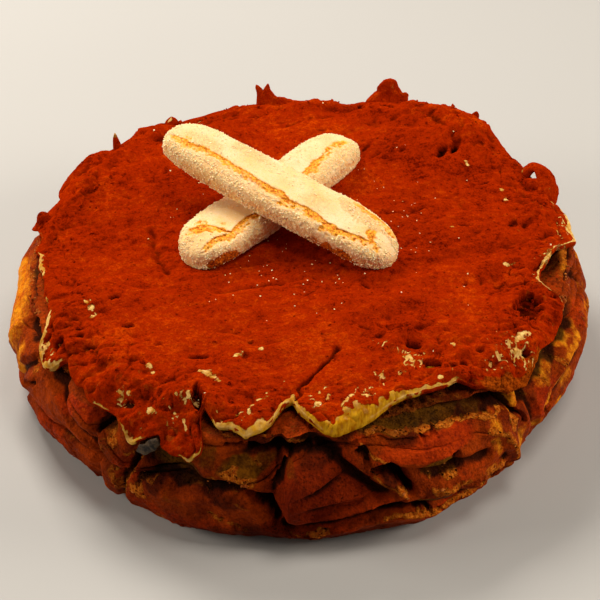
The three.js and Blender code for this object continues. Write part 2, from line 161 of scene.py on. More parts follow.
# Joints between the layers and the cream's edge, round the cake: angle, height or distance
BAND_TOP = [
    [-180, 16], [-150, 17], [-135, 20], [-127, 21], [-121, 22], [-112, 27], [-105, 30], [-100, 28],
    [-96, 21], [-92, 12.5], [-86, 15], [-79, 17.5], [-72, 18.5], [-64, 15], [-50, 13], [-20, 14], [30, 17],
    [75, 14], [120, 17], [155, 15], [180, 16],
]
SLAB_TOP = {
    -180: 42, -152: 41, -143: 40, -134: 38, -128: 33, -122: 25, -112: 29.5, -100: 31, -96: 33, -92: 41,
    -88: 44, -78: 44.5, -72: 44, -64: 42.5, -57: 40, -50: 38, -44: 42, 0: 42, 60: 41, 120: 43, 180: 42,
}
FILLING_TOP = {
    -180: 46, -128: 45, -96: 45.5, -88: 46.4, -78: 46.8, -50: 46, 0: 45.5, 90: 46.3, 180: 46,
}
CREAM_EDGE = {
    -180: 106, -177: 103.5, -172: 103.5, -167: 101, -163: 102.5, -160: 101, -157: 103, -154: 107, -152: 114,
    -149: 118.5, -146.4: 117, -144.6: 112, -143: 108.5, -140.5: 111.5, -138: 113.5, -136: 112.2,
    -134: 114.5, -131.8: 114, -129: 113.4, -126.2: 113.8, -124.4: 117, -123.2: 120.6, -122: 121.2,
    -120.8: 119, -119: 116, -116.4: 113.9, -115.9: 118.4, -114.6: 119.2, -113.4: 119.8, -111.6: 118.8,
    -110.2: 120.6, -109.2: 118.2, -107.9: 115.5, -107.4: 101, -107: 97.5, -105.7: 101.5, -105: 105,
    -103.2: 103.5, -101.6: 105, -100.2: 106.6, -98.8: 104.8, -97: 102.9, -95.6: 100, -94.5: 95, -93.4: 91.4,
    -91.6: 89.3, -90.2: 94.4, -88.8: 98, -87.2: 101, -85.2: 105, -83.4: 106, -81.4: 105.2, -78.4: 103,
    -75: 100.8, -71.2: 98, -68: 96.8, -63: 97.2, -58: 98.4, -54.5: 98.8, -52: 104.5, -48.4: 109, -45: 113,
    -40.5: 115.6, -37.5: 113, -33: 109, -30: 110.4, -27.5: 111.6, -23: 110.6, -20: 109.4, -17.6: 108,
    -16.3: 105.4, -15.5: 99, -14: 94.8, -8: 94.2, -3.5: 94.8, -0.8: 96.5, 1.4: 102, 4: 109, 8: 106.5,
    13: 111, 20: 109, 27: 111, 33: 106, 39: 108, 46: 110, 53: 113, 60: 111, 66: 113.5, 74: 109, 81: 111.5,
    88: 107, 95: 110.5, 101: 107.5, 108: 109.5, 114: 106, 121: 110.5, 127: 111.5, 133: 107, 140: 109.5,
    145: 113, 150: 107, 156: 113.5, 161: 105.5, 166: 112, 171: 109, 176: 104, 180: 106,
}
# The big lobe leans to the left as it goes up: angle, half-width, lean in degrees
LOBE_LEAN = [-107.5, 4.5, 2.9]
# Swellings of the outline: angle, half-width, then millimetres at the foot, the middle and the rim
SWELLINGS = [
    [-160, 18, 2.5, 1.6, 0.5], [-138, 10, -1.5, -0.5, 0], [-112, 26, 0.2, 0.2, 1], [-88, 16, -1.5, -0.5, 0],
    [-54, 24, 0.8, 0.8, -0.3], [-35, 24, -3.6, -3, -1.2], [5, 20, -0.4, -0.6, 5.5], [16, 12, 0, 0, 2.5],
    [31, 14, 1, 1, 5], [51, 19, 1, 1.5, 10], [76, 18, 0, 0, 4], [96, 22, 0, 0, 3], [127, 18, 0, 0, 4],
    [148, 14, 0, 0.5, 5], [171, 16, 0, -1, 1],
]
# Lifts of the rim: angle, half-width, height
RIM_LIFTS = [
    [51, 22, 8.2], [68, 16, 5], [30, 12, 0.6], [90, 16, 1.8], [107, 14, 2.2], [128, 14, 1.2], [148, 14, 2],
    [-100, 18, -0.8], [-128, 14, -1.2],
]
# The foot tucks in at the right front: angle, half-width, depth, height
FOOT_TUCK = [-42, 34, 4, 17]
print("the cake is", TOP_HEIGHT, "mm high to the cocoa, the cream's edge has", len(CREAM_EDGE), "stations")

# %% [markdown]
# The folds are listed one by one. A crease is a path with a half-width and a rise, and a minus sign lets it
# sink in.
# The far side can't be seen: each of its eight rows makes a sharp crease and a soft swelling beside it.

# %% Folds, hollows and dents
# Creases: path of angles and heights, half-width, rise. Hollows: angle, height, half-sizes, rise
CREASES = [
    [BAND_TOP[4:10], 2.6, -5], [BAND_TOP[9:15], 2.6, -5],
    [[[-180, 16], [-150, 17], [-135, 20], [-125, 21]], 2.6, -2.5], [BAND_TOP[14:], 3, -3],
    [[[-121, 38], [-123, 25], [-125, 12], [-126.5, 0]], 1.8, -3.5],
    [[[-129, 24], [-136, 30], [-141, 37], [-149, 42], [-160, 44]], 2.6, -4.5],
    [[[-99, 45], [-95.5, 43.8], [-91.5, 43.8], [-88.6, 45.4]], 1.7, -5],
    [[[-76.4, 36.4], [-73.8, 37.4], [-71.8, 33], [-70.2, 27]], 2, -6.5],
    [[[-73, 36], [-68, 34], [-60, 31], [-54, 29]], 2.2, -3],
    [[[-79, 51], [-72, 50.4], [-65, 49], [-58, 47], [-51, 44.6], [-46, 43]], 2.6, -6.5],
    [[[-53, 39], [-49, 34], [-46, 22], [-45, 12]], 3, 3],
    [[[-43, 46], [-40, 34], [-38, 20], [-37, 8]], 2.6, -3],
    [[[-42, 38.5], [-35, 40.5], [-27, 41], [-18, 42]], 1.8, -2],
    [[[-24, 46], [-30, 36], [-35, 26]], 2.2, -1.6], [[[-4, 46], [-2, 26], [-3, 6]], 2.6, -1.5],
    [[[-152, 40], [-158, 24], [-161, 6]], 2.6, -3], [[[-163, 40], [-168, 22], [-172, 8]], 3, 1.5],
    [[[-131, 34], [-131, 20], [-133, 4]], 2.4, -2.5],
]
# Folds of the side turned away: angle, lean, depth, heights of its top and foot
FAR_FOLDS = [(14, 7, -1.4, 44, 20), (33, -8, -2, 38, 4), (52, 9, -1.2, 46, 20), (71, 5, -2.2, 42, 8),
             (95, -9, -1.5, 36, 4), (117, 8, -2, 46, 16), (138, -6, -1.3, 40, 5), (159, 8, -2.2, 45, 12)]
for at, lean, rise, top, foot in FAR_FOLDS:
    CREASES.append([[[at, top], [at + lean, (top + foot) / 2], [at + lean / 2, foot]], 2.4, rise])
    CREASES.append([[[at + 9, 44], [at + 9 + lean, 26], [at + 10, 9]], 3.4, 1.6])
HOLLOWS = [
    [-115.5, 32, 15, 9, -9], [-118, 40, 8, 5, -4], [-100, 40, 13, 10, -5], [-94, 44, 4, 6, -4],
    [-129, 39, 6, 6, -6], [-143, 44, 4, 4, -4], [-63, 32, 9, 4, -3.5], [-63, 41.5, 26, 8, 3],
    [-64, 24, 12, 5, 2.5], [-56, 19, 7, 5, 2], [-50, 17, 6, 5, 1.5], [-168, 40, 36, 12, 1.2],
    [-100, 8, 50, 8, 1.5], [-136, 38, 10, 8, 2.5],
]
# Dents and lumps of the top: x, y, half-width, rise
TOP_RELIEF = [
    [88, -39, 8, -1], [99, -17, 9, -3.5], [-37, -92, 4, -0.6], [45, -66, 9, -2.5], [38, -58, 7, 1.2],
    [56, -54, 9, 1.2], [62, 59, 9, -1.6], [52, 78, 12, -1.4], [27, 63, 8, -1.2], [67, 11, 7, -1],
    [-64, -51, 12, -1], [-36, -68, 12, -1.2], [-88, -62, 7, 1.5], [13, -65, 9, -0.8], [36, 93, 9, -1.4],
    [-10, -20, 14, -0.8], [-55, 10, 26, 0.8], [20, -40, 24, 0.8], [30, 20, 30, -0.6], [-60, 60, 20, 0.8],
    [86, 13, 8, -1.4], [86, 52, 10, 1.4], [-70, -20, 16, 0.6], [0, 85, 18, 0.7],
]
print(len(CREASES), "folds,", len(HOLLOWS), "hollows,", len(TOP_RELIEF), "dents and lumps")

# %% [markdown]
# The wall was pressed against a crumpled lining, so it is folded like cloth. Rather than sculpt it, its
# radius is worked out for every angle and height, from distances on the unrolled wall.

# %% Distances on the wall
def path_distance(path, angle, z):
    """The smallest distance on the unrolled wall from each point to a path of angles and heights."""
    nearest = np.full(np.broadcast(angle, z).shape, 1e9)
    for a, b in zip(path[:-1], path[1:]):
        px = turn_between(angle, a[0]) * MM_PER_DEGREE
        py = z - a[1]
        bx = (b[0] - a[0]) * MM_PER_DEGREE
        by = b[1] - a[1]
        t = np.clip((px * bx + py * by) / (bx * bx + by * by), 0, 1)
        nearest = np.minimum(nearest, np.hypot(px - t * bx, py - t * by))
    return nearest


def swelling(angle, z):
    """Each swelling is a bell round its angle, its amount read between foot, middle and rim."""
    total = 0
    for at, half, foot, middle, rim in SWELLINGS:
        low = foot + (middle - foot) * z / 26
        high = middle + (rim - middle) * (z - 26) / 26
        total = total + near(angle, at, half) * np.where(z < 26, low, high)
    return total


def wall_point(angle, radius, z):
    """Polar to Cartesian, as an array of points."""
    angle, radius, z = np.broadcast_arrays(angle, radius, z)
    return np.stack([radius * np.cos(angle * RAD), radius * np.sin(angle * RAD), z], -1)


def wander(angle, z, amount, size, seed):
    """The same place shifted by noise on the unrolled wall, so that edges drawn there come out ragged."""
    here = wall_point(angle, MEAN_RADIUS, z)
    sideways = amount / MM_PER_DEGREE * rough(here, size, seed, 2)
    return angle + sideways, z + amount * rough(here, size, seed + 5, 2)

# %% [markdown]
# Torn holes and taut facets. At the front and at the right the lining was pulled tight between named fold
# lines. Triangles join their corners, and the number at each corner says how far it stands out.

# %% Torn holes and taut facets
# Torn holes: path, half-width, depth
TEARS = [
    [[[-79, 43.5], [-77.3, 40.5]], 1.2, 5],
    [[[-76.2, 36.2], [-73.6, 37.2], [-71.8, 32.6], [-70, 27.6]], 1.5, 7],
    [[[-66.5, 45.6], [-63.5, 45.2]], 1.1, 3], [[[-61.5, 36.6], [-60.6, 36.2]], 1.1, 3.5],
    [[[-97.6, 24], [-95.4, 19], [-94, 14]], 1.3, 5], [[[-94.4, 33], [-92.6, 39], [-91.4, 44]], 1.1, 4],
    [[[-127.5, 41], [-129.5, 37.6], [-130.5, 34.5]], 1.6, 5], [[[-104, 46.5], [-101, 45.8]], 0.8, 2.5],
    [[[-121.5, 30], [-122.4, 25.5]], 0.9, 3], [[[-86.4, 15.4], [-83, 17.2], [-78, 18.6]], 0.9, 3.5],
    [[[-46, 41], [-43.5, 34], [-42.5, 30]], 1.2, 3.5], [[[-34, 24], [-33, 21]], 0.9, 2.5],
    [[[-68, 16.5], [-65.5, 14]], 1.2, 4], [[[-113, 6], [-111, 9]], 0.7, 1.8],
    [[[-88, 6], [-86.5, 8]], 0.7, 1.8], [[[-151, 31], [-154, 27]], 0.9, 2.4],
    [[[-139, 12], [-141.5, 15]], 0.8, 2],
]
# Folds of the front and of the right side, taut and flat between: corners as angle, height, standing out.
# The single corners at the end of each table are its border
FRONT_FOLDS = [
    [[-88.5, 48.6, -3], [-90.4, 39, 2.6], [-91.8, 30.6, 3.8], [-92, 24, 3.4], [-92.2, 14.5, 2.6]],
    [[-88.5, 48.6, -3], [-85.6, 45, -6], [-83.2, 41, -7.5], [-80.2, 36.4, -7.5], [-75, 27.6, -5]],
    [[-91.8, 30.6, 3.8], [-88.2, 32.2, 2.2], [-85, 35, -0.8]],
    [[-91.5, 28.8, 1.8], [-88.2, 30.2, -1], [-85, 32.6, -2.8]],
    [[-92, 24, 3.4], [-88, 26.2, 2.2], [-83.6, 27.4, 1.2], [-79, 27.6, -0.4], [-75, 27.6, -5]],
    [[-87.6, 23.2, -0.8], [-83.6, 24, -2], [-79, 24.4, -2.4]],
    [[-92.2, 14.5, 2.6], [-88, 17.8, 2.4], [-81, 21.2, 3.4], [-74.4, 23.2, 1]],
    [[-87, 15.4, -0.4], [-80, 18.4, -1], [-73, 20.2, -2.4]],
    [[-78.8, 46.4, -1], [-78.2, 38.8, 1.2], [-74.6, 33, 1.8], [-70.6, 25.4, 2.4]],
    [[-94.2, 44, -5], [-94.4, 36, -5.5], [-95.4, 22, -6], [-94.8, 14.5, -4]], [[-99, 42, 0]],
    [[-99.5, 32, 0]], [[-98.5, 20, 0]], [[-96.5, 11, 0]], [[-92, 9, 0]], [[-86, 11.5, 0]], [[-80, 14, 0]],
    [[-71, 15, 0]], [[-67, 24, 0]], [[-71, 36, 0]], [[-74.5, 42, 0]], [[-76, 50, 0]], [[-88.5, 51.8, 0]],
    [[-96, 49.6, 0]],
]
RIGHT_FOLDS = [
    [[-43, 39, -1.5], [-35, 41.5, -3], [-27, 43, -3], [-18, 43, -2.5]],
    [[-40.5, 30, 0.6], [-33, 33.5, 1.6], [-25, 36, 2.2], [-15, 36, 2.4], [-8, 37, 1.8], [-2, 33, 1.6]],
    [[-36, 20, 1.4], [-30, 27.5, -1.4], [-20, 30, -1.2], [-15, 36, 2.4]],
    [[-36, 20, 1.4], [-27, 22, 1.2], [-17, 24, 1.4], [-9.5, 22, 1.4], [-8, 37, 1.8]], [[3, 24, 0.6]],
    [[-46, 36, 0]], [[-44, 24, 0]], [[-38, 12, 0]], [[-26, 9, 0]], [[-10, 8, 0]], [[4, 12, 0]],
    [[9, 26, 0]], [[7, 38, 0]], [[-2, 44, 0]], [[-12, 47, 0]], [[-28, 48, 0]], [[-40, 45, 0]],
]


def folded(angle, z):
    """Flat facets: triangles join the corners and keep the fold lines. Each is read by its three shares."""
    total, taut = 0 * angle * z, 0 * angle * z
    for folds in (FRONT_FOLDS, RIGHT_FOLDS):
        corners = []
        for fold in folds:
            corners += [corner for corner in fold if corner not in corners]
        lines = [(corners.index(a), corners.index(b)) for fold in folds for a, b in zip(fold[:-1], fold[1:])]
        laid = [Vector((at * MM_PER_DEGREE, height)) for at, height, _ in corners]
        places, _, triangles, sources = delaunay_2d_cdt(laid, lines, [], 0, 1e-4)[:4]
        rises = [corners[source[0]][2] if source else 0 for source in sources]
        for i, j, k in triangles:
            (ax, ay), (bx, by), (cx, cy) = places[i], places[j], places[k]
            px, py = angle * MM_PER_DEGREE - ax, z - ay
            area = (bx - ax) * (cy - ay) - (cx - ax) * (by - ay)
            share_b = (px * (cy - ay) - (cx - ax) * py) / area
            share_c = ((bx - ax) * py - px * (by - ay)) / area
            inside = (share_b >= 0) & (share_c >= 0) & (share_b + share_c <= 1)
            here = rises[i] * (1 - share_b - share_c) + rises[j] * share_b + rises[k] * share_c
            total = np.where(inside, here, total)
            taut = np.where(inside, 1.0, taut)
    return total, taut


print(len(TEARS), "torn holes and", len(FRONT_FOLDS) + len(RIGHT_FOLDS), "fold lines and border corners")

# %% [markdown]
# Now everything named above is added up to one radius. The places are first shifted by noise, so that no
# fold runs straight, and crumpled foil lies over the rest, weaker where the lining was taut.

# %% Radius of the folded wall
def wall_radius(angle, z):
    """Profile, swellings, V-shaped creases, bell-shaped hollows, torn holes, foil and the tucked foot."""
    angle, z = np.broadcast_arrays(np.asarray(angle, float), np.asarray(z, float))
    here = wall_point(angle, MEAN_RADIUS, z)
    flat_folds, taut = folded(*wander(angle, z, 0.5, 6, 33))
    wave_a, wave_z = wander(angle, z, 1.5 - 1.1 * near(angle, -68, 34), 8, 31)
    film = 1 - 0.6 * near(angle, -171, 16) - 0.45 * near(angle, -15, 30)
    film = film * (1 - 0.7 * taut)
    r = table(WALL_PROFILE, z) + swelling(angle, z)
    for path, width, rise in CREASES:
        d = path_distance(path, wave_a, wave_z) / (2 * width)
        r = r + rise * (0.35 * bell(d) + 0.7 * np.clip(1 - 1.5 * d, 0, None))
    for at, height, half_width, half_height, rise in HOLLOWS:
        sideways = turn_between(wave_a, at) * MM_PER_DEGREE / half_width
        r = r + rise * bell(np.hypot(sideways, (wave_z - height) / half_height) * 0.8)
    torn_a, torn_z = wander(angle, z, 1.9, 4.2, 37)
    frayed = 0.45 * rough(here, 1.8, 38, 2) + 0.3 * noise(here, 5, 39)
    for path, width, depth in TEARS:
        r = r - depth * (1 - smooth(0.3, 1.25, path_distance(path, torn_a, torn_z) / width + frayed))
    u = turn_between(angle, -90) * MM_PER_DEGREE + 3 * noise(here, 16, 5)
    v = z + 3 * noise(here, 16, 6)
    foil = 1.7 * facets(0.94 * u + 0.34 * v, 0.94 * v - 0.34 * u, 17, 7)
    foil = foil + 0.8 * facets(0.77 * u - 0.64 * v, 0.77 * v + 0.64 * u, 8, 8) + 0.25 * facets(u, v, 3.6, 9)
    r = r + flat_folds + film * foil * smooth(0, 7, np.abs(turn_between(angle, 90)))
    at, half, depth, top = FOOT_TUCK
    return r - depth * near(angle, at, half) * (1 - smooth(0, top, z))


print("the wall's radius at the front is", round(float(wall_radius(-90, 26)), 1), "mm")

# %% [markdown]
# What shows on the wall changes from place to place: red cocoa paste, olive hollows, amber cream that also
# carries painted highlight along lit ridges, pale crumbs where the sponge was torn, and painted shade in the
# folds, under the lips and towards the foot. Each kind is a short list of lines and ovals. Their strength
# goes into the mesh as a number on each vertex, called a mark here, which the materials read.

# %% Tables of the marks
# Lines: path, half-width, strength. Ovals: angle, height, half-width, half-height, strength
CRUMB_LINES = [
    [[[-121, 36], [-123, 25], [-125, 12], [-126.5, 2]], 2.2, 1.1],
    [[[-121, 21], [-112, 26], [-104, 29]], 1.6, 0.9],
    [[[-106, 31.5], [-101.5, 29.6], [-98.5, 29.5]], 2.8, 1],
    [[[-97.5, 47.4], [-93, 46.2], [-89, 47]], 1.8, 1],
    [[[-79, 48.2], [-72, 47.8], [-65, 46.6], [-58, 44.6], [-52, 42], [-47, 40]], 0.55, 1.5],
    [[[-78.4, 36.6], [-74.6, 31.6], [-70.6, 25.6]], 1.5, 1],
    [[[-78.4, 45.6], [-77, 42], [-74, 40.4]], 1, 0.8],
    [[[-91, 9], [-86, 11.6], [-79, 14], [-72, 15], [-64, 11.8], [-56, 10.6]], 1.2, 1.3],
    [[[-53, 39], [-49, 34], [-46, 22], [-45, 12]], 1.8, 0.8], [[[-66, 25], [-58, 22], [-52, 21]], 2.4, 0.9],
    [[[-69, 49.7], [-64.6, 49.3]], 0.5, 1.2], [[[-137, 33], [-134, 30], [-129, 25], [-126, 22]], 1.9, 1.1],
    [[[-36, 44], [-33, 34], [-32, 24]], 1.6, 0.8], [[[-28, 44], [-26, 34], [-25, 26]], 1.4, 0.7],
    [[[-14, 44], [-12, 32]], 1.6, 0.6], [[[-62, 4], [-50, 8], [-40, 9]], 2.6, 0.7],
    [[[-150, 44], [-146, 41], [-142, 43]], 1.6, 0.7], [[[-95, 2], [-88, 3], [-84, 1]], 2, 0.8],
    [[[-96, 20], [-100, 22.5], [-104, 25]], 1, 0.7],
    [[[-114, 21], [-108, 18], [-101, 12], [-97, 7]], 1.2, 0.6],
    [[[-129, 8], [-118, 5], [-106, 3]], 1.6, 0.6], [[[30, 17], [52, 15.6], [75, 13.4], [98, 15]], 0.9, 0.9],
    [[[118, 17], [138, 16], [155, 14.4]], 0.9, 0.9], [[[20, 44], [34, 42], [46, 44]], 1.2, 0.7],
    [[[96, 43], [112, 41], [120, 43]], 1.2, 0.7],
]
CRUMB_OVALS = [
    [-103, 30, 4.6, 2.6, 1], [-98, 40, 2.2, 3, 0.5], [-64, 24, 5, 2.6, 0.8], [-56, 19, 5, 3, 0.8],
    [-50, 17, 4, 3, 0.8], [-92, 45.6, 3.6, 1.8, 0.7], [-123, 31, 2.4, 3, 0.7], [-128, 30, 3, 3, 0.6],
    [-45, 12, 3, 5, 0.8], [-40, 38, 2.6, 4, 0.6], [-21, 33, 2.4, 4, 0.5], [-8, 36, 2.4, 3, 0.5],
    [-160, 30, 3, 5, 0.5], [-152, 37, 4, 3, 0.6], [-100, 32.5, 5, 3, 1], [-103, 35, 4, 2.4, 0.9],
    [-98, 27, 4, 3, 0.9], [-121, 16.5, 4, 4, 0.9], [-127, 35, 5, 4, 0.7], [-46, 34.8, 3, 4, 0.8],
    [-51, 19.5, 6, 3, 1], [-44, 15, 5, 3, 0.9], [-47, 3, 6, 3, 0.8], [-140, 16, 5, 8, 0.5],
    [-40, 8, 6, 6, 0.6], [-30, 2, 8, 3, 0.6], [-56, 12, 5, 3, 0.7], [-67, 31, 3.6, 2, 1],
    [-62.2, 29.6, 4, 2.4, 1], [-68, 26.4, 4, 2, 0.9], [-82, 46.6, 3, 1.2, 0.8], [-130.5, 31, 6, 10, 0.75],
    [-127, 15, 4, 9, 0.7], [-134, 24, 5, 6, 0.5], [40, 36, 6, 4, 0.7], [62, 29, 5, 7, 0.5],
    [84, 38, 7, 3, 0.6], [104, 22, 5, 5, 0.5], [128, 32, 5, 6, 0.6], [150, 24, 6, 4, 0.6],
    [24, 9, 8, 3, 0.6], [70, 6, 9, 3, 0.5], [134, 6, 9, 3, 0.6],
]
OLIVE_OVALS = [
    [-114, 33.5, 13, 7, 0.9], [-101, 36.5, 11, 5.6, 0.9], [-107, 41, 5, 6, 0.7], [-70, 48.6, 20, 1.8, 1],
    [-60, 47, 14, 2.4, 1], [-53, 44.8, 8, 2.6, 0.8], [-64.5, 35.6, 7, 3, 1], [-128, 39, 5, 6, 0.6],
    [-46, 45, 7, 3, 0.7], [-68, 20.6, 16, 1.6, 0.9], [58, 43, 9, 4, 0.6], [118, 30, 9, 6, 0.4],
    [82, 24, 10, 5, 0.3], [-97, 39, 6, 4, 0.7], [-40, 46, 7, 2.4, 0.6], [-113, 20, 8, 3, 0.4],
    [-91.6, 39, 2.6, 4, 0.5], [-16, 45, 14, 3, 0.5], [-51, 18, 5, 2.2, 0.7],
]
# Amber, partly the film's own colour and partly painted highlight along lit ridges
AMBER_HIGHLIGHT_LINES = [
    [[[-45, 39.5], [-41, 42.6], [-34, 42.4], [-27.5, 44], [-20, 42]], 2.6, 1.1],
    [[[-37, 20], [-30, 30], [-24, 36], [-17, 40]], 2.4, 1],
    [[[-24, 8], [-17, 20], [-12, 30], [-8, 42]], 3.2, 0.95],
    [[[-7, 8], [-2, 20], [2, 32], [4, 42]], 3.6, 0.8], [[[6, 16], [10, 30], [12, 42]], 3.2, 0.6],
    [[[40, 12], [46, 24], [50, 36]], 3.4, 0.45], [[[104, 40], [110, 28], [112, 14]], 3.4, 0.45],
]
AMBER_OVALS = [
    [-171, 36, 22, 15, 1.3], [-178, 32, 20, 17, 1.3], [-160, 28, 9, 12, 0.7], [-51, 40, 5, 3, 0.9],
    [-51.5, 33, 3, 7, 0.7], [-30, 41, 9, 4, 0.8], [-44, 24, 6, 11, 0.8], [-134, 42.5, 3, 1.6, 0.4],
    [-25, 30, 12, 13, 0.5], [-34, 40, 5, 5, 0.8], [-8, 30, 16, 17, 0.6], [8, 30, 18, 17, 0.55],
    [-72.4, 29.4, 3, 3, 0.5], [-63, 48.8, 16, 0.8, 0.6], [20, 40, 10, 6, 0.5], [70, 42, 12, 5, 0.5],
    [130, 38, 12, 8, 0.5], [165, 36, 14, 10, 0.7], [100, 24, 16, 8, 0.4],
]
RED_OVALS = [
    [-134, 41, 14, 3.4, 1], [-140, 36, 8, 5, 0.8], [-66, 42, 22, 4.6, 1.1], [-86, 28, 24, 20, 0.8],
    [-88, 9, 26, 7, 0.7], [-113, 9, 26, 8, 0.6], [-34, 30, 10, 10, 0.9], [-79, 45, 4, 3, 0.6],
    [-124, 24, 6, 10, 0.6], [-58, 27, 9, 4, 0.5], [-75, 24, 9, 3, 0.6], [-12, 40, 12, 5, 0.6],
    [-60, 9, 22, 5, 0.7], [-147, 16, 12, 12, 0.6], [-42, 47, 16, 4, 1], [-20, 14, 14, 9, 0.6],
    [60, 24, 40, 16, 0.5], [140, 20, 40, 14, 0.5],
]
# Painted shade in the folds and under the lips, and darker towards the foot
SHADE_OVALS = [
    [-119, 23, 9, 5, 1.2], [-102.5, 25.5, 8, 4, 0.9], [-64, 49, 24, 3.4, 0.8], [-98, 48.8, 28, 3, 1.1],
    [-116, 14, 22, 14, 0.5], [-86.5, 42, 11, 7, 1], [-84.4, 41.5, 4, 5, 1.4], [-72, 20, 20, 2.4, 1.2],
    [-86, 28, 30, 24, 0.62], [-78, 49, 12, 3, 1.2], [-70, 47, 9, 3, 0.9], [-92, 6, 62, 8, 0.8],
    [-129, 24, 9, 18, 0.6], [-88, 30, 5, 1.6, 0.9], [-83.6, 24.4, 7, 1.4, 0.8], [-113.5, 32, 19, 9, 1.3],
    [-106, 29, 8, 4, 1.2], [-96, 42.4, 12, 2.6, 1.1], [-72.6, 34, 5, 5, 1.2], [-74, 20.4, 22, 1.8, 0.9],
    [-93.6, 36, 2.6, 7, 0.9], [-95.6, 19, 3, 6, 0.9], [-79, 33, 5, 4, 0.6], [-64, 36.5, 9, 3, 0.7],
    [-126, 30, 6, 8, 0.5], [-66, 50.4, 24, 1.8, 1], [-100, 49, 24, 1.6, 0.8], [-36, 46, 12, 2.4, 0.6],
    [-150, 6, 20, 6, 0.5], [-20, 5, 24, 6, 0.4], [90, 4, 90, 5, 0.4],
]
print(len(CRUMB_LINES) + len(CRUMB_OVALS), "crumbly places and", len(SHADE_OVALS), "soaked ones")

# %% [markdown]
# Where two ovals meet the stronger wins, so the lists can overlap without blotches. The borders are
# shifted by two sizes of noise: a fine one for torn crumbs, a slow one for the paste, the amber and the
# painted shade.

# %% Marks on the wall
def strongest_line(rows, angle, z):
    """The strongest of several lines: each is full at its path and fades to nothing at its half-width."""
    best = 0 * angle * z
    for path, width, strength in rows:
        best = np.maximum(best, strength * (1 - smooth(0.3, 1.2, path_distance(path, angle, z) / width)))
    return best


def strongest_oval(rows, angle, z, soft=0.55):
    """The strongest of several ovals: each is full inside soft of its radius and nothing past its rim."""
    best = 0 * angle * z
    for at, height, half_width, half_height, strength in rows:
        away = np.hypot(turn_between(angle, at) * MM_PER_DEGREE / half_width, (z - height) / half_height)
        best = np.maximum(best, strength * (1 - smooth(soft, 1.2, away)))
    return best


def wall_marks(angle, z):
    """How crumbly, olive, amber with painted highlight, red and painted-shaded each place on the wall is,
    from nothing to about one.
    """
    here = wall_point(angle, MEAN_RADIUS, z)
    near_a, near_z = wander(angle, z, 1.9 - 1.5 * near(angle, -62, 24), 3.4, 81)
    far_a, far_z = wander(angle, z, 3.5, 12, 91)
    crumb = strongest_line(CRUMB_LINES, near_a, near_z)
    crumb = np.maximum(crumb, strongest_oval(CRUMB_OVALS, near_a, near_z))
    crumb = crumb * smooth(-0.55, 0.1, noise(here, 7, 83))
    amber_highlight_streaks = strongest_line(AMBER_HIGHLIGHT_LINES, far_a + 0.7 * (near_a - angle), far_z + 1.2 * (near_z - z))
    amber_highlight_streaks = amber_highlight_streaks * (0.45 + 0.55 * smooth(-0.5, 0.3, noise(here, 4.5, 85)))
    amber_and_highlight = np.maximum(amber_highlight_streaks, strongest_oval(AMBER_OVALS, far_a, far_z, 0.3))
    return {"crumb": crumb, "olive": strongest_oval(OLIVE_OVALS, near_a, near_z, 0.5),
            "amber_and_highlight": amber_and_highlight, "red": strongest_oval(RED_OVALS, far_a, far_z),
            "painted_shade": strongest_oval(SHADE_OVALS, far_a, far_z, 0.4)}


# %% [markdown]
# One builder makes every round piece. It takes rings of points from the middle of the underside to the
# middle of the top, joins them with quads and closes both ends with a fan: one closed skin.

# %% Ring builder
def piece_from(name, points, faces, marks=None):
    """Fills a mesh from whole arrays. Points are in millimetres, faces a list of index arrays by size."""
    mesh = bpy.data.meshes.new(name)
    mesh.vertices.add(len(points))
    mesh.vertices.foreach_set("co", (points * MM).astype(np.float32).ravel())
    corners = np.concatenate([group.ravel() for group in faces]).astype(np.int32)
    totals = np.concatenate([np.full(len(group), group.shape[1]) for group in faces]).astype(np.int32)
    mesh.loops.add(len(corners))
    mesh.loops.foreach_set("vertex_index", corners)
    mesh.polygons.add(len(totals))
    mesh.polygons.foreach_set("loop_start", (np.cumsum(totals) - totals).astype(np.int32))
    mesh.update(calc_edges=True)
    mesh.polygons.foreach_set("use_smooth", np.ones(len(totals), bool))
    for key, values in (marks or {}).items():
        layer = mesh.attributes.new(key, "FLOAT", "POINT")
        layer.data.foreach_set("value", values.astype(np.float32).ravel())
    piece = bpy.data.objects.new(name, mesh)
    bpy.context.scene.collection.objects.link(piece)
    print(f"{name}: {len(points)} points, {int((totals - 2).sum())} triangles")
    return piece


def ring_faces(rows, count):
    """Quads between rings of a grid whose first and last points are single poles."""
    k, i = np.meshgrid(np.arange(rows - 1), np.arange(count), indexing="ij")
    j = (i + 1) % count
    start = 1 + k * count
    quads = np.stack([start + i, start + j, start + count + j, start + count + i], -1).reshape(-1, 4)
    i, j = np.arange(count), (np.arange(count) + 1) % count
    low = np.stack([0 * i, 1 + j, 1 + i], -1)
    top = 1 + (rows - 1) * count
    return [quads, np.concatenate([low, np.stack([top + i, top + j, 0 * i + top + count], -1)])]


def ring_piece(name, bottom, rings, top, marks=None):
    """Rings is an array of rows by points by 3. Each mark has one number for each point of the rings."""
    rows, count = rings.shape[:2]
    points = np.concatenate([[bottom], rings.reshape(-1, 3), [top]])
    padded = {key: np.concatenate([value[0, :1], value.ravel(), value[-1, :1]])
              for key, value in (marks or {}).items()}
    return piece_from(name, points, ring_faces(rows, count), padded)


# %% [markdown]
# Each layer of the body is a slice of the folded wall between two joints. Its edges are rounded in by a
# millimetre, because wet sponge has no sharp arris, and it is crumbly where the crumb mark is high.

# %% Rows of a layer
FRONT_COLUMNS = 1080
BACK_COLUMNS = 360
INNER_RINGS = (84, 92)
RIM_RADIUS = 104
ANGLE = np.concatenate([-180 + 180 * np.arange(FRONT_COLUMNS) / FRONT_COLUMNS,
                        180 * np.arange(BACK_COLUMNS) / BACK_COLUMNS])


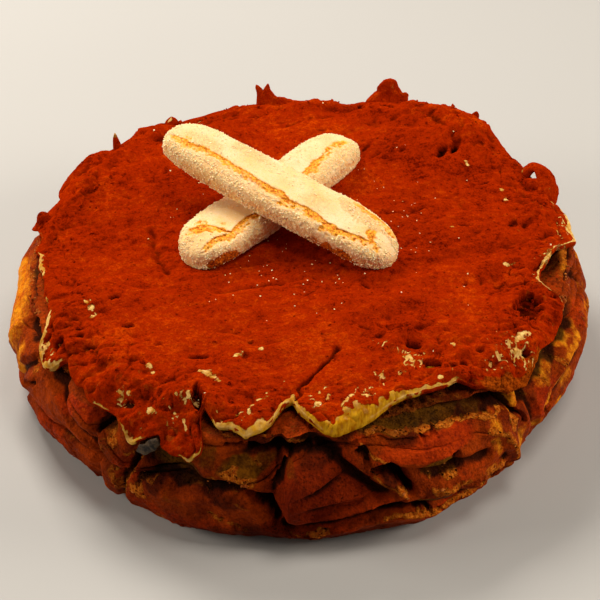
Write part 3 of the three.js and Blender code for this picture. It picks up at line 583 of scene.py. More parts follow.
def rim_lift(angle, r):
    """How far the rim is raised or lowered, fading inwards."""
    total = 0
    for at, half, lift in RIM_LIFTS:
        total = total + lift * near(angle, at, half)
    return total * smooth(62, RIM_RADIUS, r)


# Where the upper sponge stands out or draws back: angle, half-width, millimetres
LEDGES = [(-62, 22, 0.6), (-94, 6, 2.5), (-115, 6, -2.4), (-126, 7, -2.4)]


def torn_edge(angle, t):
    """How far the upper sponge stands out: the ledges by name, and a soft raggedness."""
    ledge = 0
    for at, half, rise in LEDGES:
        ledge = ledge + rise * near(angle, at, half)
    return ledge * (0.6 + 0.4 * t) + 0.9 * rough(wall_point(angle, MEAN_RADIUS, 6 * t), 7, 45, 2)


# Lumps of torn sponge that stand up where the cover is torn away: x, y, half-width, height
CRUST_LUMPS = [
    [108, -1, 7, 3.2], [97, -5, 7, -1.6], [110, -12, 5, 1.6], [96, -16, 7, 1.2], [-6, -100, 8, 1.4],
    [4, -97, 6, 0.8], [-82, -66, 8, 1], [-103.5, 30, 6, 2.4], [-107, 12, 6, 2],
]
CRUST_RINGS = 26


def crust_top(angle, radius, height):
    """Rings over the crust from the wall inwards, with its lumps and a crumbly relief."""
    inwards = np.arange(1, CRUST_RINGS + 1)[:, None] / CRUST_RINGS
    r = radius - (radius - INNER_RINGS[0]) * inwards ** 1.5
    here = wall_point(angle, r, 0)
    z = height + rim_lift(angle, r) - rim_lift(angle, RIM_RADIUS) - 2.5 * smooth(91, INNER_RINGS[0], r)
    z = z + 0.8 * rough(here, 6, 56) + 0.6 * rough(here, 2.4, 57, 2)
    z = z - 0.9 * smooth(0.4, 0.7, noise(here, 2.2, 54))
    for x, y, half, rise in CRUST_LUMPS:
        z = z + rise * bell(np.hypot(here[..., 0] - x, here[..., 1] - y) / (1.3 * half))
    away = smooth(0, 3, radius - r)
    return wall_point(angle, r, z * away + height * (1 - away))


def torn_skin(along, angle, z, radius, marks, crumbling, from_edge):
    """The radius with grain and pores where it crumbles, and its edges rounded in by about a millimetre."""
    here = wall_point(angle, radius, z)
    crumbly = np.clip(crumbling + marks["crumb"] - 0.6 * marks["olive"], 0.08, 1.2)
    grain = 0.55 * rough(here, 3.6, 51) + 0.3 * noise(here, 1.3, 52)
    pores = -1.5 * smooth(0.35, 0.7, noise(here * [1, 1, 1.6], 2.8, 54)) * smooth(0.6, 2.4, from_edge)
    radius = radius + crumbly * (grain + pores) + 0.15 * rough(here, 5, 53)
    rounding = (0.9 + 0.6 * noise(along, 14, 55)) * (1 - 0.9 * near(ANGLE, -62, 26))
    return radius - rounding * np.clip(1 - from_edge / 1.4, 0, 1) ** 2


def hollow_shade(angle, z, radius):
    """Painted shade: half where the wall is even, more where it lies deeper than its mean a little way round
    it, and weaker at the back.
    """
    beside = sum(np.roll(radius, shift, 1) for shift in (-20, -12, -6, 6, 12, 20)) / 6
    nearby = wall_radius(angle, z - 5) + wall_radius(angle, z + 5)
    hollow = 0.5 * (beside - radius) + 0.5 * (nearby / 2 - radius)
    # The painted shade is weaker on the far side of the cake
    shade_strength = 1 - 0.55 * near(angle, 90, 100)
    return np.clip(hollow * 0.4 * shade_strength + 0.5, 0, 1)


def marks_above(count):
    """Marks of the rings inwards from the wall: painted shade all over, more under the big drips and in the
    inner part of the notch; crumbs and amber with painted highlight on the notch's outer rings.
    """
    shade = near(ANGLE, -67, 20) + near(ANGLE, -103, 9)
    inwards = np.linspace(0, 1, count)[:, None]
    notch = near(ANGLE, -1, 11)
    even = 0 * inwards * shade
    return {"crumb": 0.3 + 0.3 * shade + 0.4 * notch * (1 - inwards), "red": 0.4 - 0.35 * shade + even,
            "painted_shade": 0.35 + 0.75 * shade + 1.2 * notch * smooth(0.15, 0.5, inwards), "hollow_shade": 0.5 + even,
            "amber_and_highlight": 0.9 * notch * smooth(0.5, 0.1, inwards), "olive": even}


def layer_piece(name, low, high, rows, extra, crumbling):
    """Rows of the wall from one joint to the next, with a rounded foot and brow and a flat in each joint."""
    along = wall_point(ANGLE, MEAN_RADIUS, 0)
    ragged = 0.7 * rough(along, 6, 41)
    bottom = around(low, ANGLE) + JOINT / 2 + ragged if low else 0 * ANGLE
    top = around(high, ANGLE) - JOINT / 2 + ragged if high else BODY_TOP - 1.2 + rim_lift(ANGLE, RIM_RADIUS)
    even = np.linspace(0, 1, rows)[:, None]
    t = 0.3 * (0.5 - 0.5 * np.cos(np.pi * even)) + 0.7 * even
    z = bottom + (top - bottom) * t
    angle = np.broadcast_to(ANGLE, z.shape)
    marks = wall_marks(angle, z)
    radius = wall_radius(angle, z) + (extra(angle, t) if callable(extra) else extra)
    radius = torn_skin(along, angle, z, radius, marks, crumbling, np.minimum(z - bottom, top - z))
    marks["hollow_shade"] = hollow_shade(angle, z, radius)
    below = [wall_point(ANGLE, r, bottom) for r in INNER_RINGS]
    above = crust_top(ANGLE, radius[-1], top)
    if high:
        above = [wall_point(ANGLE, r, top) for r in INNER_RINGS[::-1]]
    rings = np.concatenate([below, wall_point(angle, radius, z), above])
    shown, hidden = marks_above(len(above)), np.zeros((len(below), ANGLE.size))
    marks = {key: np.concatenate([hidden, value, shown[key]]) for key, value in marks.items()}
    middle = top.mean() if high else BODY_TOP - 4.5
    return ring_piece(name, [0, 0, bottom.mean()], rings, [0, 0, middle], marks)


def shoulder(angle, t):
    """The base stands out a little towards its upper edge, most at the right front, where it is a ledge."""
    return 1.2 * t + 1.8 * smooth(0.45, 0.8, t) * near(angle, -74, 24)


# %% [markdown]
# Each call names the joints below and above, the rows, how far the layer stands out and how crumbly it
# is.

# %% Building the four layers
def enter(piece, node=None):
    """Every piece rides on the one body and may replace a solid."""
    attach(piece, "root")
    if node:
        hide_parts(node)


base = layer_piece("soaked_base", None, BAND_TOP, 44, shoulder, 0.22)
slab = layer_piece("soaked_slab", BAND_TOP, SLAB_TOP, 60, 0, 0.2)
filling = layer_piece("coffee_cream", SLAB_TOP, FILLING_TOP, 34, -0.8, 0.1)
crust = layer_piece("torn_sponge", FILLING_TOP, None, 24, torn_edge, 0.7)
enter(base, "sponge_base")
enter(slab, "sponge_middle")
enter(filling, "cream_filling")
enter(crust, "sponge_upper")

# %% [markdown]
# The top. Cream was spread to a ragged cover and cocoa was sieved over it. Slits, cracks and flecks of
# bare cream are lists. They cut the surface and also say where the cream is bare, so colour and shape
# always agree.

# %% Slits, cracks and flecks of the top
# Each row: x, y, half-length, half-width, turn in degrees, depth or height
SLITS = [
    (78, -26, 3.4, 1, 12, 1.6), (82, -14, 2.6, 1, 40, 1.2), (66, 11, 3.2, 0.9, -20, 1.4),
    (86, 13, 2.6, 1.4, 80, 1.8), (-64, -51, 3.2, 1.1, 10, 1.6), (-36, -68, 4.2, 1.3, 0, 2),
    (-8, -24, 3.4, 0.8, 15, 1), (42, -62, 3.2, 1.7, -8, 2.6), (49, -73, 4.2, 1.6, 0, 2.4),
    (56, -75, 2, 1.4, 0, 2), (62, 59, 4, 1.6, 60, 1.6), (40, 80, 2.6, 1.4, 0, 1.4),
    (28, 66, 4, 1.3, 50, 1.5), (31, 60, 3, 1.2, 30, 1.2), (66, -66, 2.2, 1, 0, 1.6),
    (36, -55, 3.8, 1, -12, 1.4), (30, -57, 2.4, 1.1, 20, 1.4), (24, -52, 2.6, 0.9, -20, 1.1),
    (55, -56, 3, 1, -30, 1.3), (-88, -50, 3.4, 1.2, 20, 1.6), (-82, -56, 3, 1.1, -10, 1.5),
    (-77, -62, 2.4, 0.9, 0, 1.2), (-96, -52, 2.4, 1.2, 30, 1.3), (-30, 44, 4, 1, 20, 1.2),
    (-34, 38, 3, 0.9, 30, 1), (4, -30, 3.6, 0.8, 35, 1), (48, 24, 5, 1, 25, 1.2),
    (52, 15, 2.6, 0.8, 10, 0.9), (10, 78, 3.4, 0.9, 0, 1.1), (-20, 88, 3.8, 1, 20, 1.2),
    (-58, 70, 3.4, 1, 30, 1.1), (74, 40, 2.6, 0.9, 50, 1.1), (-70, 30, 3, 0.9, -20, 1),
    (-52, -62, 2.2, 0.8, 10, 1), (-18, -60, 2, 0.7, 20, 0.8),
]
CRACKS = [
    ([[14, -63], [12, -68], [9, -72], [4, -78], [1, -84], [-2.4, -91]], 1, 2.2),
    ([[36, 93], [41, 88], [47, 86]], 1.6, 1.5), ([[52, 78], [57, 70], [62, 59]], 1.8, 1.5),
    ([[-9, -24], [-3, -27], [4, -27]], 0.7, 0.8), ([[-60, -83], [-48, -79], [-38, -76]], 0.9, 1),
    ([[30, -52], [40, -54], [50, -52], [60, -54]], 1.2, 1.3), ([[88, -24], [80, -27], [74, -31]], 1, 1.4),
    ([[-37, -90], [-36, -98], [-33, -106]], 2.2, 1.6),
    ([[-59, 8], [-57.4, -2], [-54.6, -12], [-52, -18]], 2.6, 1.7),
    ([[34, 22], [44, 20], [54, 26]], 0.9, 0.9), ([[-92, -14], [-86, -30]], 1.4, 0.8),
]
FLECKS = [
    (-79, -41, 3.4, 1.2, -60, 0.9), (-78, -45, 1.8, 1, 30, 0.7), (-54, -74, 3, 1.1, -75, 1),
    (-33, -78, 3.2, 1.5, -35, 1.2), (-30, -81, 2.2, 1.1, -60, 1), (-14, -65, 1.8, 1.3, 80, 0.5),
    (-22, -68, 2, 1.4, 60, 0.8), (-39, -89, 3, 2.2, 10, 0.8), (-53, -92, 1.7, 2.4, 20, 1.2),
    (-45, -93, 3.6, 0.7, -52, 0.9), (-41, -100, 3.2, 0.6, -80, 0.6), (-65, -84, 2, 2.2, 40, 1),
    (-61, -84, 2.2, 1.2, 0, 0.9), (61, 10, 1.1, 0.7, 0, 0.5), (67, 51, 1.2, 1.5, 0, 0.8),
    (82, 36, 1.6, 0.8, 0, 0.8), (82, 30, 2, 0.9, 70, 0.8), (85, 10, 2.4, 0.8, 50, 0.7),
    (81, -14, 2.2, 0.7, 30, 0.6), (105, 50, 3, 1.2, 60, 0.9), (30, -79, 3.2, 1.1, 75, 0.9),
    (42, -70, 3.8, 1.7, -40, 0.7), (38, -77, 2, 1.2, 20, 0.6), (57, -63, 1.6, 0.8, 80, 0.7),
    (83, -57, 3.6, 1.7, 35, 1.4), (-97, -48, 3.6, 1, -60, 0.8), (-99, -57, 3, 1.4, 70, 1),
    (-92, -65, 2.4, 2, 0, 1), (-58, 92, 3, 1.6, 10, 1), (-84, 66, 1.4, 1, 0, 0.7),
    (38, 103, 4.6, 1.6, 10, 0.3), (-102, -10, 3.2, 1, 80, 0.8), (-12, -84, 2.4, 1, 50, 0.7),
    (-18, -96, 3, 0.8, 70, 0.8), (24, -88, 2.8, 0.9, 80, 0.7), (17, -92, 2.6, 1.2, 60, 0.8),
    (10, -88, 1.8, 0.9, 80, 0.7), (6, -94, 2.6, 1.3, 60, 0.8), (51, -81, 1.2, 0.9, 0, 0.6),
]

print(len(SLITS), "slits,", len(CRACKS), "cracks and", len(FLECKS), "flecks")

# %% [markdown]
# Near the torn places the cocoa is thin, and the cream shows as a web of ridges. The bare edge of the
# cover has tables of its own: how far it reaches up, how thick its lip is, and how yellow-olive it is
# painted, partly the cream's own colour and partly painted shade.

# %% Thin places, holes and the bare edge
# Thin cocoa: x, y, half-length, half-width, turn, strength
THIN_COCOA = [
    (82, -64, 12, 8, 25, 2.4), (105, 20, 9, 5, 75, 1.6), (72, -71, 7, 4, 10, 1), (96, -12, 11, 5, 70, 1.2),
    (101, 9, 9, 5, 75, 1.2), (-98, -52, 10, 4.5, -60, 0.9), (-102, -12, 9, 3.5, 80, 0.6),
    (-62, -86, 8, 4, -25, 0.8), (31, -64, 7, 4, -40, 0.7), (30, -80, 6, 4.5, 80, 0.9),
    (42, -69, 9, 6, -30, 0.9), (22, -88, 9, 4, 10, 0.8), (7, -88, 6, 4, 30, 0.7), (-11, -86, 7, 5, 50, 0.8),
    (-24, -97, 9, 4, 5, 0.9), (-43, -96, 8, 7, 0, 0.5), (-58, -100, 5, 5, 0, 0.7),
    (60, -78, 9, 3.5, -20, 0.5), (-76, -76, 7, 3, -40, 0.3), (50, 88, 14, 4, -30, 0.4),
    (-50, 90, 10, 4, 20, 0.6),
]
# Steep holes where the cover tore right open: x, y, half-length, half-width, turn, depth
HOLES = [
    (-36, -89, 4.8, 2.2, 100, 4.6), (88, -39, 7.8, 5.8, 75, 4.6), (49, -71, 4, 1.7, -5, 3.4),
    (60, -73.5, 1.7, 1.2, 0, 2.2), (42, -62, 3.2, 1.5, -8, 2.8), (85, -64, 2, 1.8, 0, 2.2),
    (82, 13, 3, 1.6, 70, 2.2), (-91, -57, 3.4, 2.2, 20, 2.6), (-70, -36, 2.8, 1.3, 20, 2),
    (57, 57, 3.8, 1.7, 60, 2.2), (-37, -68, 3, 1.1, 0, 2.4), (92, -14, 2.6, 1.6, 70, 2.2),
    (-64, -51, 2.6, 1, 10, 2), (78, -26, 3, 1, 25, 2), (-62, -88, 2.4, 1.8, 0, 1.2),
    (-20, -68, 1.6, 1.8, 0, 1.4),
]
# Lumps that stay dusted: x, y, half-length, half-width, turn, height
LUMPS = [
    (91, -42, 3.4, 3.2, 0, 2), (84, -34, 5, 1.6, 50, 1), (80, -42, 3, 2.4, 60, 0.8),
    (40, -56, 5, 3, 20, 1.4), (50, -64, 5, 2.6, -10, 1.6), (34, -64, 6, 3, -25, 1.2),
    (60, -68, 4, 2.4, 40, 1.4), (-90, -50, 4, 3, 40, 1.8), (-84, -60, 5, 2.6, -30, 1.6),
    (-74, -68, 5, 3, -30, 1.6), (-98, -40, 4, 3, 80, 1.6), (-46, -86, 6, 3, -20, 1.8),
    (-56, -82, 5, 3.4, 20, 1.6), (-66, -76, 4, 3, -50, 1.4), (-30, -92, 5, 3.4, 30, 1.6),
    (-22, -86, 6, 3, 10, 1), (58, 66, 6, 3.4, 60, 1.6), (66, 58, 5, 3, 40, 1.4), (44, 82, 5, 3, 0, 1.4),
    (70, 10, 5, 3, -20, 1), (94, -6, 5, 3.4, 70, 1.4), (90, 22, 5, 3.4, 80, 1.2), (94, -28, 4, 3, 60, 1.2),
    (-86, 40, 7, 4, 60, 2.2), (-92, 26, 6, 4, 70, 2), (-76, 58, 7, 4, 40, 1.8), (-60, 74, 7, 4, 40, 1.4),
    (-100, 8, 6, 3.4, 85, 2), (-102, -12, 6, 3, 88, 1.6), (-30, 94, 8, 4, 10, 1.6), (10, 98, 8, 4, 0, 1.4),
    (28, 94, 7, 4, -10, 1.4),
]
# How far the bare cream reaches up from the edge of the cover: angle, millimetres
BARE_REACH = {
    -180: 0.4, -176: 1.6, -171: 1.2, -168: 0, -158: 0.2, -155: 2.2, -151: 1.4, -149: 0.6, -147.5: 3.6,
    -145.5: 2.8, -143.5: 0.3, -135: 0, -133: 0.2, -131: 1.2, -127: 0.1, -125: 0.5, -123.6: 2.6, -122: 3.2,
    -120.6: 1.2, -119: 0.2, -116: 0, -113: 0.1, -111: 1, -109: 1.5, -107.9: 0.8, -107.3: 0, -106: 0.2,
    -104.4: 1.4, -102.6: 2.4, -100.4: 3.6, -98: 3, -95.4: 1.6, -93.6: 1.6, -92.4: 3, -91: 3, -89.8: 2,
    -88.2: 1.8, -86.4: 1.8, -85: 2.6, -83.4: 4.4, -81.6: 7.6, -79.4: 9.6, -77: 8.4, -74.6: 4.6, -72: 2.2,
    -68: 1.3, -63: 1.1, -58: 0.9, -54: 0.4, -50: 0, -30: 0, -20: 0.2, -14: 0.9, -9: 1.1, -3: 0.8, 3: 0.8,
    6: 3.4, 10: 4.6, 14: 3.6, 18: 1, 30: 0.3, 60: 0, 90: 0.4, 120: 0.3, 150: 0, 165: 0.4, 180: 0.4,
}
# Thickness of the lip: angle, millimetres
LIP_THICKNESS = {
    -180: 2.2, -150: 3.2, -147.5: 4.2, -144: 2.4, -126: 2.4, -122.6: 4, -118: 2.2, -112: 2.8, -107.8: 3,
    -106: 2.6, -103: 3, -100: 4, -94: 3.2, -91.5: 3, -88: 3.2, -84.5: 3.2, -81: 5, -76: 4.4, -70: 2.6,
    -56: 2, -48: 2.6, -36: 3, -14: 1.8, -4: 2.4, 0: 3, 60: 4, 180: 2.4,
}
# How yellow-olive the bare edge is painted, most on the big lobe, partly the cream's own colour and partly
# painted shade: angle, strength
LIP_YELLOW_AND_SHADE = {
    -180: 0.15, -152: 0.2, -147: 0.5, -125: 0.55, -100: 0.6, -90: 0.75, -84: 1, -72: 1, -60: 0.5, -45: 0.2,
    0: 0.1, 180: 0.15,
}

print(len(THIN_COCOA), "thin places,", len(HOLES), "holes and", len(LUMPS), "lumps")

# %% [markdown]
# One function reads every list of ovals, another gives the distance to a path. Hundreds of pinholes come
# from a seeded generator, most of them in the rough places, because sieved powder is never even.

# %% Ovals, paths and pinholes
def ovals(rows, x, y, ragged=0, low=0.25, high=1.25):
    """Depth of a list of small ovals in plan, the deepest winning: full up to low, nothing past high."""
    best = 0 * x
    for cx, cy, half_length, half_width, turn, amount in rows:
        c, s = math.cos(turn * RAD), math.sin(turn * RAD)
        along = (x - cx) * c + (y - cy) * s
        across = (y - cy) * c - (x - cx) * s
        away = np.hypot(along / half_length, across / half_width) + ragged
        best = np.maximum(best, amount * (1 - smooth(low, high, away)))
    return best


def line_distance(path, x, y):
    """The smallest distance in plan to a path."""
    nearest = np.full(x.shape, 1e9)
    for a, b in zip(path[:-1], path[1:]):
        bx, by = b[0] - a[0], b[1] - a[1]
        t = np.clip(((x - a[0]) * bx + (y - a[1]) * by) / (bx * bx + by * by), 0, 1)
        nearest = np.minimum(nearest, np.hypot(x - a[0] - t * bx, y - a[1] - t * by))
    return nearest


picker = np.random.default_rng(12)
# Places where pinholes gather: x, y, spread. Places where the cream is torn: x, y, half-width
PINHOLED = [(44, -62, 18), (-86, -50, 14), (30, 62, 10), (-45, -85, 22), (88, -60, 14), (78, -20, 16),
            (55, 78, 18)]
TORN_PLACES = [(44, -62, 22), (-88, -52, 20), (88, -60, 18), (84, -20, 18), (58, 76, 20), (-84, 44, 22)]


def pinholes(count):
    """Random slits, more of them towards the rim and in the torn places, each a millimetre or two long."""
    rows = []
    for _ in range(count):
        if picker.random() < 0.45:
            cx, cy, spread = PINHOLED[picker.integers(len(PINHOLED))]
            x, y = picker.normal((cx, cy), spread * 0.5)
        else:
            r, a = RIM_RADIUS * picker.random() ** 0.42, picker.random() * 2 * np.pi
            x, y = r * np.cos(a), r * np.sin(a)
        size = picker.uniform(0.5, 1) * picker.choice([1, 1, 1.6])
        turn, depth = picker.normal(15, 30), picker.uniform(0.35, 0.8) * size
        rows.append((x, y, 1.5 * size, 0.55 * size, turn, depth))
    return rows


PINHOLES = pinholes(420)
print(len(PINHOLES), "pinholes")

# %% [markdown]
# The relief of the top is added up like the wall: slow waves and named dents, the strokes of the spatula
# as long soft noise, then what was cut or torn. Two more functions say where a place is bare and how far it
# lies below its neighbours, which sets painted shade.

# %% Relief of the top
def mound(x, y, cx, cy, half):
    """A bell in plan round a place."""
    return bell(np.hypot(x - cx, y - cy) / half)


def top_shape(x, y):
    """Slow waves, and each named dent or lump as a bell round its place."""
    z = 0.5 * np.sin(x / 17 + 1.3) * np.cos(y / 21 - 0.4) + 0.35 * np.sin((x + y) / 11 + 0.7)
    for cx, cy, half, rise in TOP_RELIEF:
        z = z + rise * mound(x, y, cx, cy, 1.3 * half)
    return z


def torn_rim(x, y):
    """How torn the cream is: nothing in the middle, one at the rim, and more in the named torn places."""
    r = np.hypot(x, y)
    rim = smooth(78, 98, r) * (0.7 + 0.4 * smooth(-20, -60, y) + 0.3 * smooth(60, 95, x))
    for cx, cy, half in TORN_PLACES:
        rim = np.maximum(rim, 0.85 * mound(x, y, cx, cy, 1.4 * half))
    return np.clip(rim, 0, 1)


# The crumbly pit at the right, where the cover tore right open
PIT = (88, -39)


def cocoa_relief(x, y):
    """Soft pillows of spread cream with grooves between, lumps where it is torn, slits, cracks and flecks."""
    flat = np.stack([x, y, 0 * x], -1)
    strokes = flat @ np.array([[0.9, -0.35, 0], [0.35, 0.9, 0], [0, 0, 1]]) * [0.55, 1.3, 1]
    torn = torn_rim(x, y)
    z = 1.25 * rough(flat, 26, 61, 2) + 1.0 * noise(strokes, 10, 62) + 0.34 * rough(strokes, 4, 63, 2)
    z = z + 0.14 * noise(strokes, 1.7, 59)
    grooves = np.clip(0.25 - np.abs(noise(strokes, 15, 64)), 0, 1) / 0.25
    z = z - 0.8 * grooves * smooth(-0.1, 0.5, noise(flat, 30, 65))
    ridges = np.clip(0.2 - np.abs(noise(flat, 6, 67)), 0, 1) / 0.2
    z = z + torn * (1.7 * rough(flat, 11, 66) + 0.7 * noise(flat, 4.5, 60) - 1.0 * ridges)
    crumbly = smooth(84, 92, np.hypot(x, y)) * smooth(20, 60, x)
    z = z + 0.8 * crumbly * rough(flat, 2.8, 92, 2)
    ragged = 0.35 * noise(flat, 1.6, 68)
    z = z - ovals(SLITS, x, y, ragged) - ovals(PINHOLES, x, y, ragged)
    z = z + mound(x, y, *PIT, 8) * (1.6 * rough(flat, 3.2, 90, 2) + 0.4 * noise(flat, 1.3, 91))
    z = z + 1.15 * ovals(LUMPS, x, y, 1.5 * ragged, -0.3, 1.6) - ovals(HOLES, x, y, 0.6 * ragged, 0.84, 1.02)
    for path, width, depth in CRACKS:
        away = line_distance(path, x + 1.2 * noise(flat, 4, 69), y + 1.2 * noise(flat, 4, 70)) / width
        z = z - depth * np.clip(1 - away, 0, 1) ** 0.8
    return z + 0.45 * ovals(FLECKS, x, y, 1.6 * ragged)


def bare_cream(x, y):
    """Where no cocoa lies in plan: on the ragged flecks, and as a web of ridges where the cocoa is thin."""
    flat = np.stack([x, y, 0 * x], -1)
    edge = 0.75 * noise(flat, 1.5, 72) + 0.45 * noise(flat, 0.8, 71) + 0.3 * noise(flat, 3.1, 76)
    fleck = ovals([(*row[:5], 1) for row in FLECKS], x, y, edge) * (0.9 + 0.5 * noise(flat, 1.8, 70))
    vein = np.minimum(np.abs(noise(flat, 3.6, 73)), np.abs(noise(flat, 2.3, 80)) + 0.06)
    vein = vein + 0.16 * noise(flat, 1, 74) + 0.08
    thin = ovals(THIN_COCOA, x, y, 0.5 * noise(flat, 5, 77), 0.1, 1.3)
    streaks = 0.35 * smooth(0.5, 0.8, noise(flat, 2.2, 75)) * smooth(0.5, 0.95, torn_rim(x, y))
    web = smooth(0.24, 0.06, vein / (0.35 + 0.65 * thin)) * smooth(0.1, 0.6, thin)
    return np.clip(np.maximum(fleck, web) + streaks, 0, 1)


def hollowness(proud, step):
    """How far each place lies below its neighbours a few rows and columns away, in millimetres."""
    beside = (np.roll(proud, step, 1) + np.roll(proud, -step, 1)) / 2
    rows = np.arange(len(proud))
    above, below = proud[np.minimum(rows + step, len(proud) - 1)], proud[np.maximum(rows - step, 0)]
    return (beside + (above + below) / 2) / 2 - proud


print("the cover is torn at", len(TORN_PLACES), "places and along its rim")

# %% [markdown]
# The skin of the cream runs from the centre over the shoulder and down the side. One function turns an
# angle and a distance along it into a point, and it serves the cover, the lip and the cocoa.

# %% Skin of the cream
DEEPEST = -4.3


def skin(angle, s, depth, proud):
    """A point a distance along the profile, moved in along its normal by a depth and out by proud."""
    before, after = np.maximum(s - 1.5, 0), s + 1.5
    r0, z0 = table(SKIN_PROFILE, before, 1), table(SKIN_PROFILE, before, 2)
    r1, z1 = table(SKIN_PROFILE, after, 1), table(SKIN_PROFILE, after, 2)
    length = np.hypot(r1 - r0, z1 - z0)
    out_r, out_z = (z0 - z1) / length, (r1 - r0) / length
    r, z = (r0 + r1) / 2, (z0 + z1) / 2
    out = proud - depth
    radius = r + swelling(angle, z) * smooth(55, 100, s) + out * out_r
    return wall_point(angle, radius, z + rim_lift(angle, r) + out * out_z)


def cover_plan(angle, s):
    """Where a place on the unrolled cover would lie if the skin were laid out flat."""
    return s * np.cos(angle * RAD), s * np.sin(angle * RAD)


def cover_proud(angle, s):
    """How far the surface stands out: the top's shape fading over the shoulder, and the cocoa's relief."""
    x, y = cover_plan(angle, s)
    shape_x, shape_y = cover_plan(angle, np.minimum(s, 108))
    proud = top_shape(shape_x, shape_y) * (1 - smooth(100, 108, s)) + cocoa_relief(x, y)
    return np.maximum(proud, DEEPEST + 0.5 * noise(np.stack([x, y, 0 * x], -1), 3, 58))


def sunkenness(x, y, proud, step):
    """Painted shade from nothing to one: low places beside high ones, and the floors of the torn holes, a
    little less in the pit.
    """
    ragged = 0.3 * noise(np.stack([x, y, 0 * x], -1), 1.6, 68)
    floors = ovals([(*row[:5], min(row[5] / 4.2, 1)) for row in HOLES], x, y, ragged, 0.3, 1.1)
    floors = floors * (1 - 0.2 * mound(x, y, *PIT, 10))
    return np.clip(np.maximum(hollowness(proud, step) / 2.5, floors), 0, 1)


def lean(angle, s):
    """How many degrees the columns of the big lobe lean to the left at a distance along the skin."""
    at, half, amount = LOBE_LEAN
    away = turn_between(angle, at)
    width = np.where(away > 0, half, 2 * half)
    return -amount * bell(away / width) * (1 - smooth(99, 116, s)) * smooth(84, 97, s)


print("the skin runs", SKIN_PROFILE[-1][0], "mm from the centre to the end of the longest drip")

# %% [markdown]
# The cover's grid has fixed rings in the middle, which the cocoa hides, then close rows to the ragged
# edge, which lies at its own distance at each angle. There the skin turns under in a half-round lip.

# %% Rows of the cover
# Toasted crust shows at the right front: angle, half-width
CRUST_AT, CRUST_HALF = -42, 17
FIRST_ROW = 82
edge_here = wall_point(ANGLE, 100, 0)
frayed = 0.7 + 0.7 * smooth(-25, 10, ANGLE) + 0.7 * smooth(-150, -165, ANGLE)
EDGE = around(CREAM_EDGE, ANGLE, 0.22) + frayed * rough(edge_here, 6, 71, 3)
EDGE = EDGE + 0.5 * (frayed - 0.7) * noise(edge_here, 2.4, 72)
HALF_LIP = around(LIP_THICKNESS, ANGLE) / 2 * (1 + 0.2 * noise(edge_here, 7, 75))
REACH = around(BARE_REACH, ANGLE, 0.2)
fade = np.linspace(0, 1, 46)[:, None] ** 0.9
fixed_rows = np.array([30, 60, 76, 80])[:, None] + 0 * ANGLE
s_rows = np.concatenate([fixed_rows, FIRST_ROW + (EDGE - FIRST_ROW) * fade])
a_rows = ANGLE + lean(ANGLE, s_rows)
proud = cover_proud(a_rows, s_rows)
flat = wall_point(a_rows, s_rows, 0)
from_edge = EDGE - s_rows
toasted = smooth(8, 2, from_edge + 2.5 * noise(flat, 3, 85))
toasted = near(a_rows, CRUST_AT, CRUST_HALF) * toasted
proud = proud + toasted * (0.7 * rough(flat, 3.4, 86) + 0.3 * noise(flat, 1.3, 87))
under_sheet = 3.0 * smooth(81, 77, s_rows)
top_rows = skin(a_rows, s_rows, 0, proud * np.minimum(1, 0.25 + (EDGE - s_rows) / 3) - under_sheet)
turns = np.linspace(0.3, np.pi, 9)[:, None]
lip_s = EDGE + 0.75 * HALF_LIP * np.sin(turns)
lip_a = ANGLE + lean(ANGLE, lip_s)
lip_out = 0.25 * cover_proud(ANGLE, EDGE) * (1 + np.cos(turns)) / 2
lip_toasted = near(lip_a, CRUST_AT, CRUST_HALF)
lip_flat = wall_point(lip_a, lip_s, 4 * turns)
lip_out = lip_out + lip_toasted * (0.6 * rough(lip_flat, 3.4, 88) + 0.3 * noise(lip_flat, 1.3, 89))
lip_rows = skin(lip_a, lip_s, HALF_LIP * (1 - np.cos(turns)), lip_out)
under_s = [EDGE - 1.5 - 3.0 * k for k in range(3)]
under = [skin(ANGLE + lean(ANGLE, s), s, 2 * HALF_LIP + 0.4 * k, 0) for k, s in enumerate(under_s)]
under.append(skin(ANGLE, 70 + 0 * EDGE, 6.5, 0))
cover_rings = np.concatenate([np.array(under)[::-1], lip_rows[::-1], top_rows[::-1]])
print("the cover's edge lies", round(EDGE.min()), "to", round(EDGE.max()), "mm along the skin")

# %% [markdown]
# Along the edge the powder stops in runs and dapples, so the border between cocoa and cream is drawn by
# noise that is long down the side. The marks are joined in the same order as the rings.

# %% Bare edge of the cover
stir_a, stir_s = noise(flat, 2.6, 76) + 0.5 * noise(flat, 1.2, 77), noise(flat, 3.4, 78)
run_down = np.stack([a_rows * MM_PER_DEGREE + 0.8 * stir_a, 0.22 * (s_rows + 2.0 * stir_s), 0 * s_rows], -1)
streaky = 0.25 * noise(run_down, 1.5, 76) + 0.7 * noise(run_down, 3.4, 74) + 0.6 * noise(flat, 7, 79)
streaky = streaky + 0.7 * noise(flat, 2.4, 81) + 0.3 * rough(flat, 1.6, 77)
solid = 0.7 + 0.55 * near(a_rows, -77.6, 4)
near_edge = smooth(-0.1, 0.35, solid - from_edge / np.maximum(REACH, 0.6) + 1.0 * streaky)
near_edge = near_edge * smooth(0, 0.8, REACH)
rim = smooth(0.9, 0.2, from_edge - 0.12 * REACH + 0.9 * streaky) * smooth(0.4, 1.2, REACH)
near_edge = np.maximum(near_edge, rim)
bare_top = np.where(from_edge > 1.6 * REACH + 3, 0, near_edge)
bare_top = np.maximum(bare_cream(*cover_plan(a_rows, s_rows)), bare_top)
whole = near(ANGLE, -81, 11)
dapple = noise(lip_flat, 2, 84) + 0.5 * noise(lip_flat, 5, 83)
lip_bare = smooth(0.3, 1.6, REACH + 1.4 * noise(edge_here, 4, 79))
lip_bare = lip_bare * smooth(-0.6 - whole, -0.25 - whole, dapple)
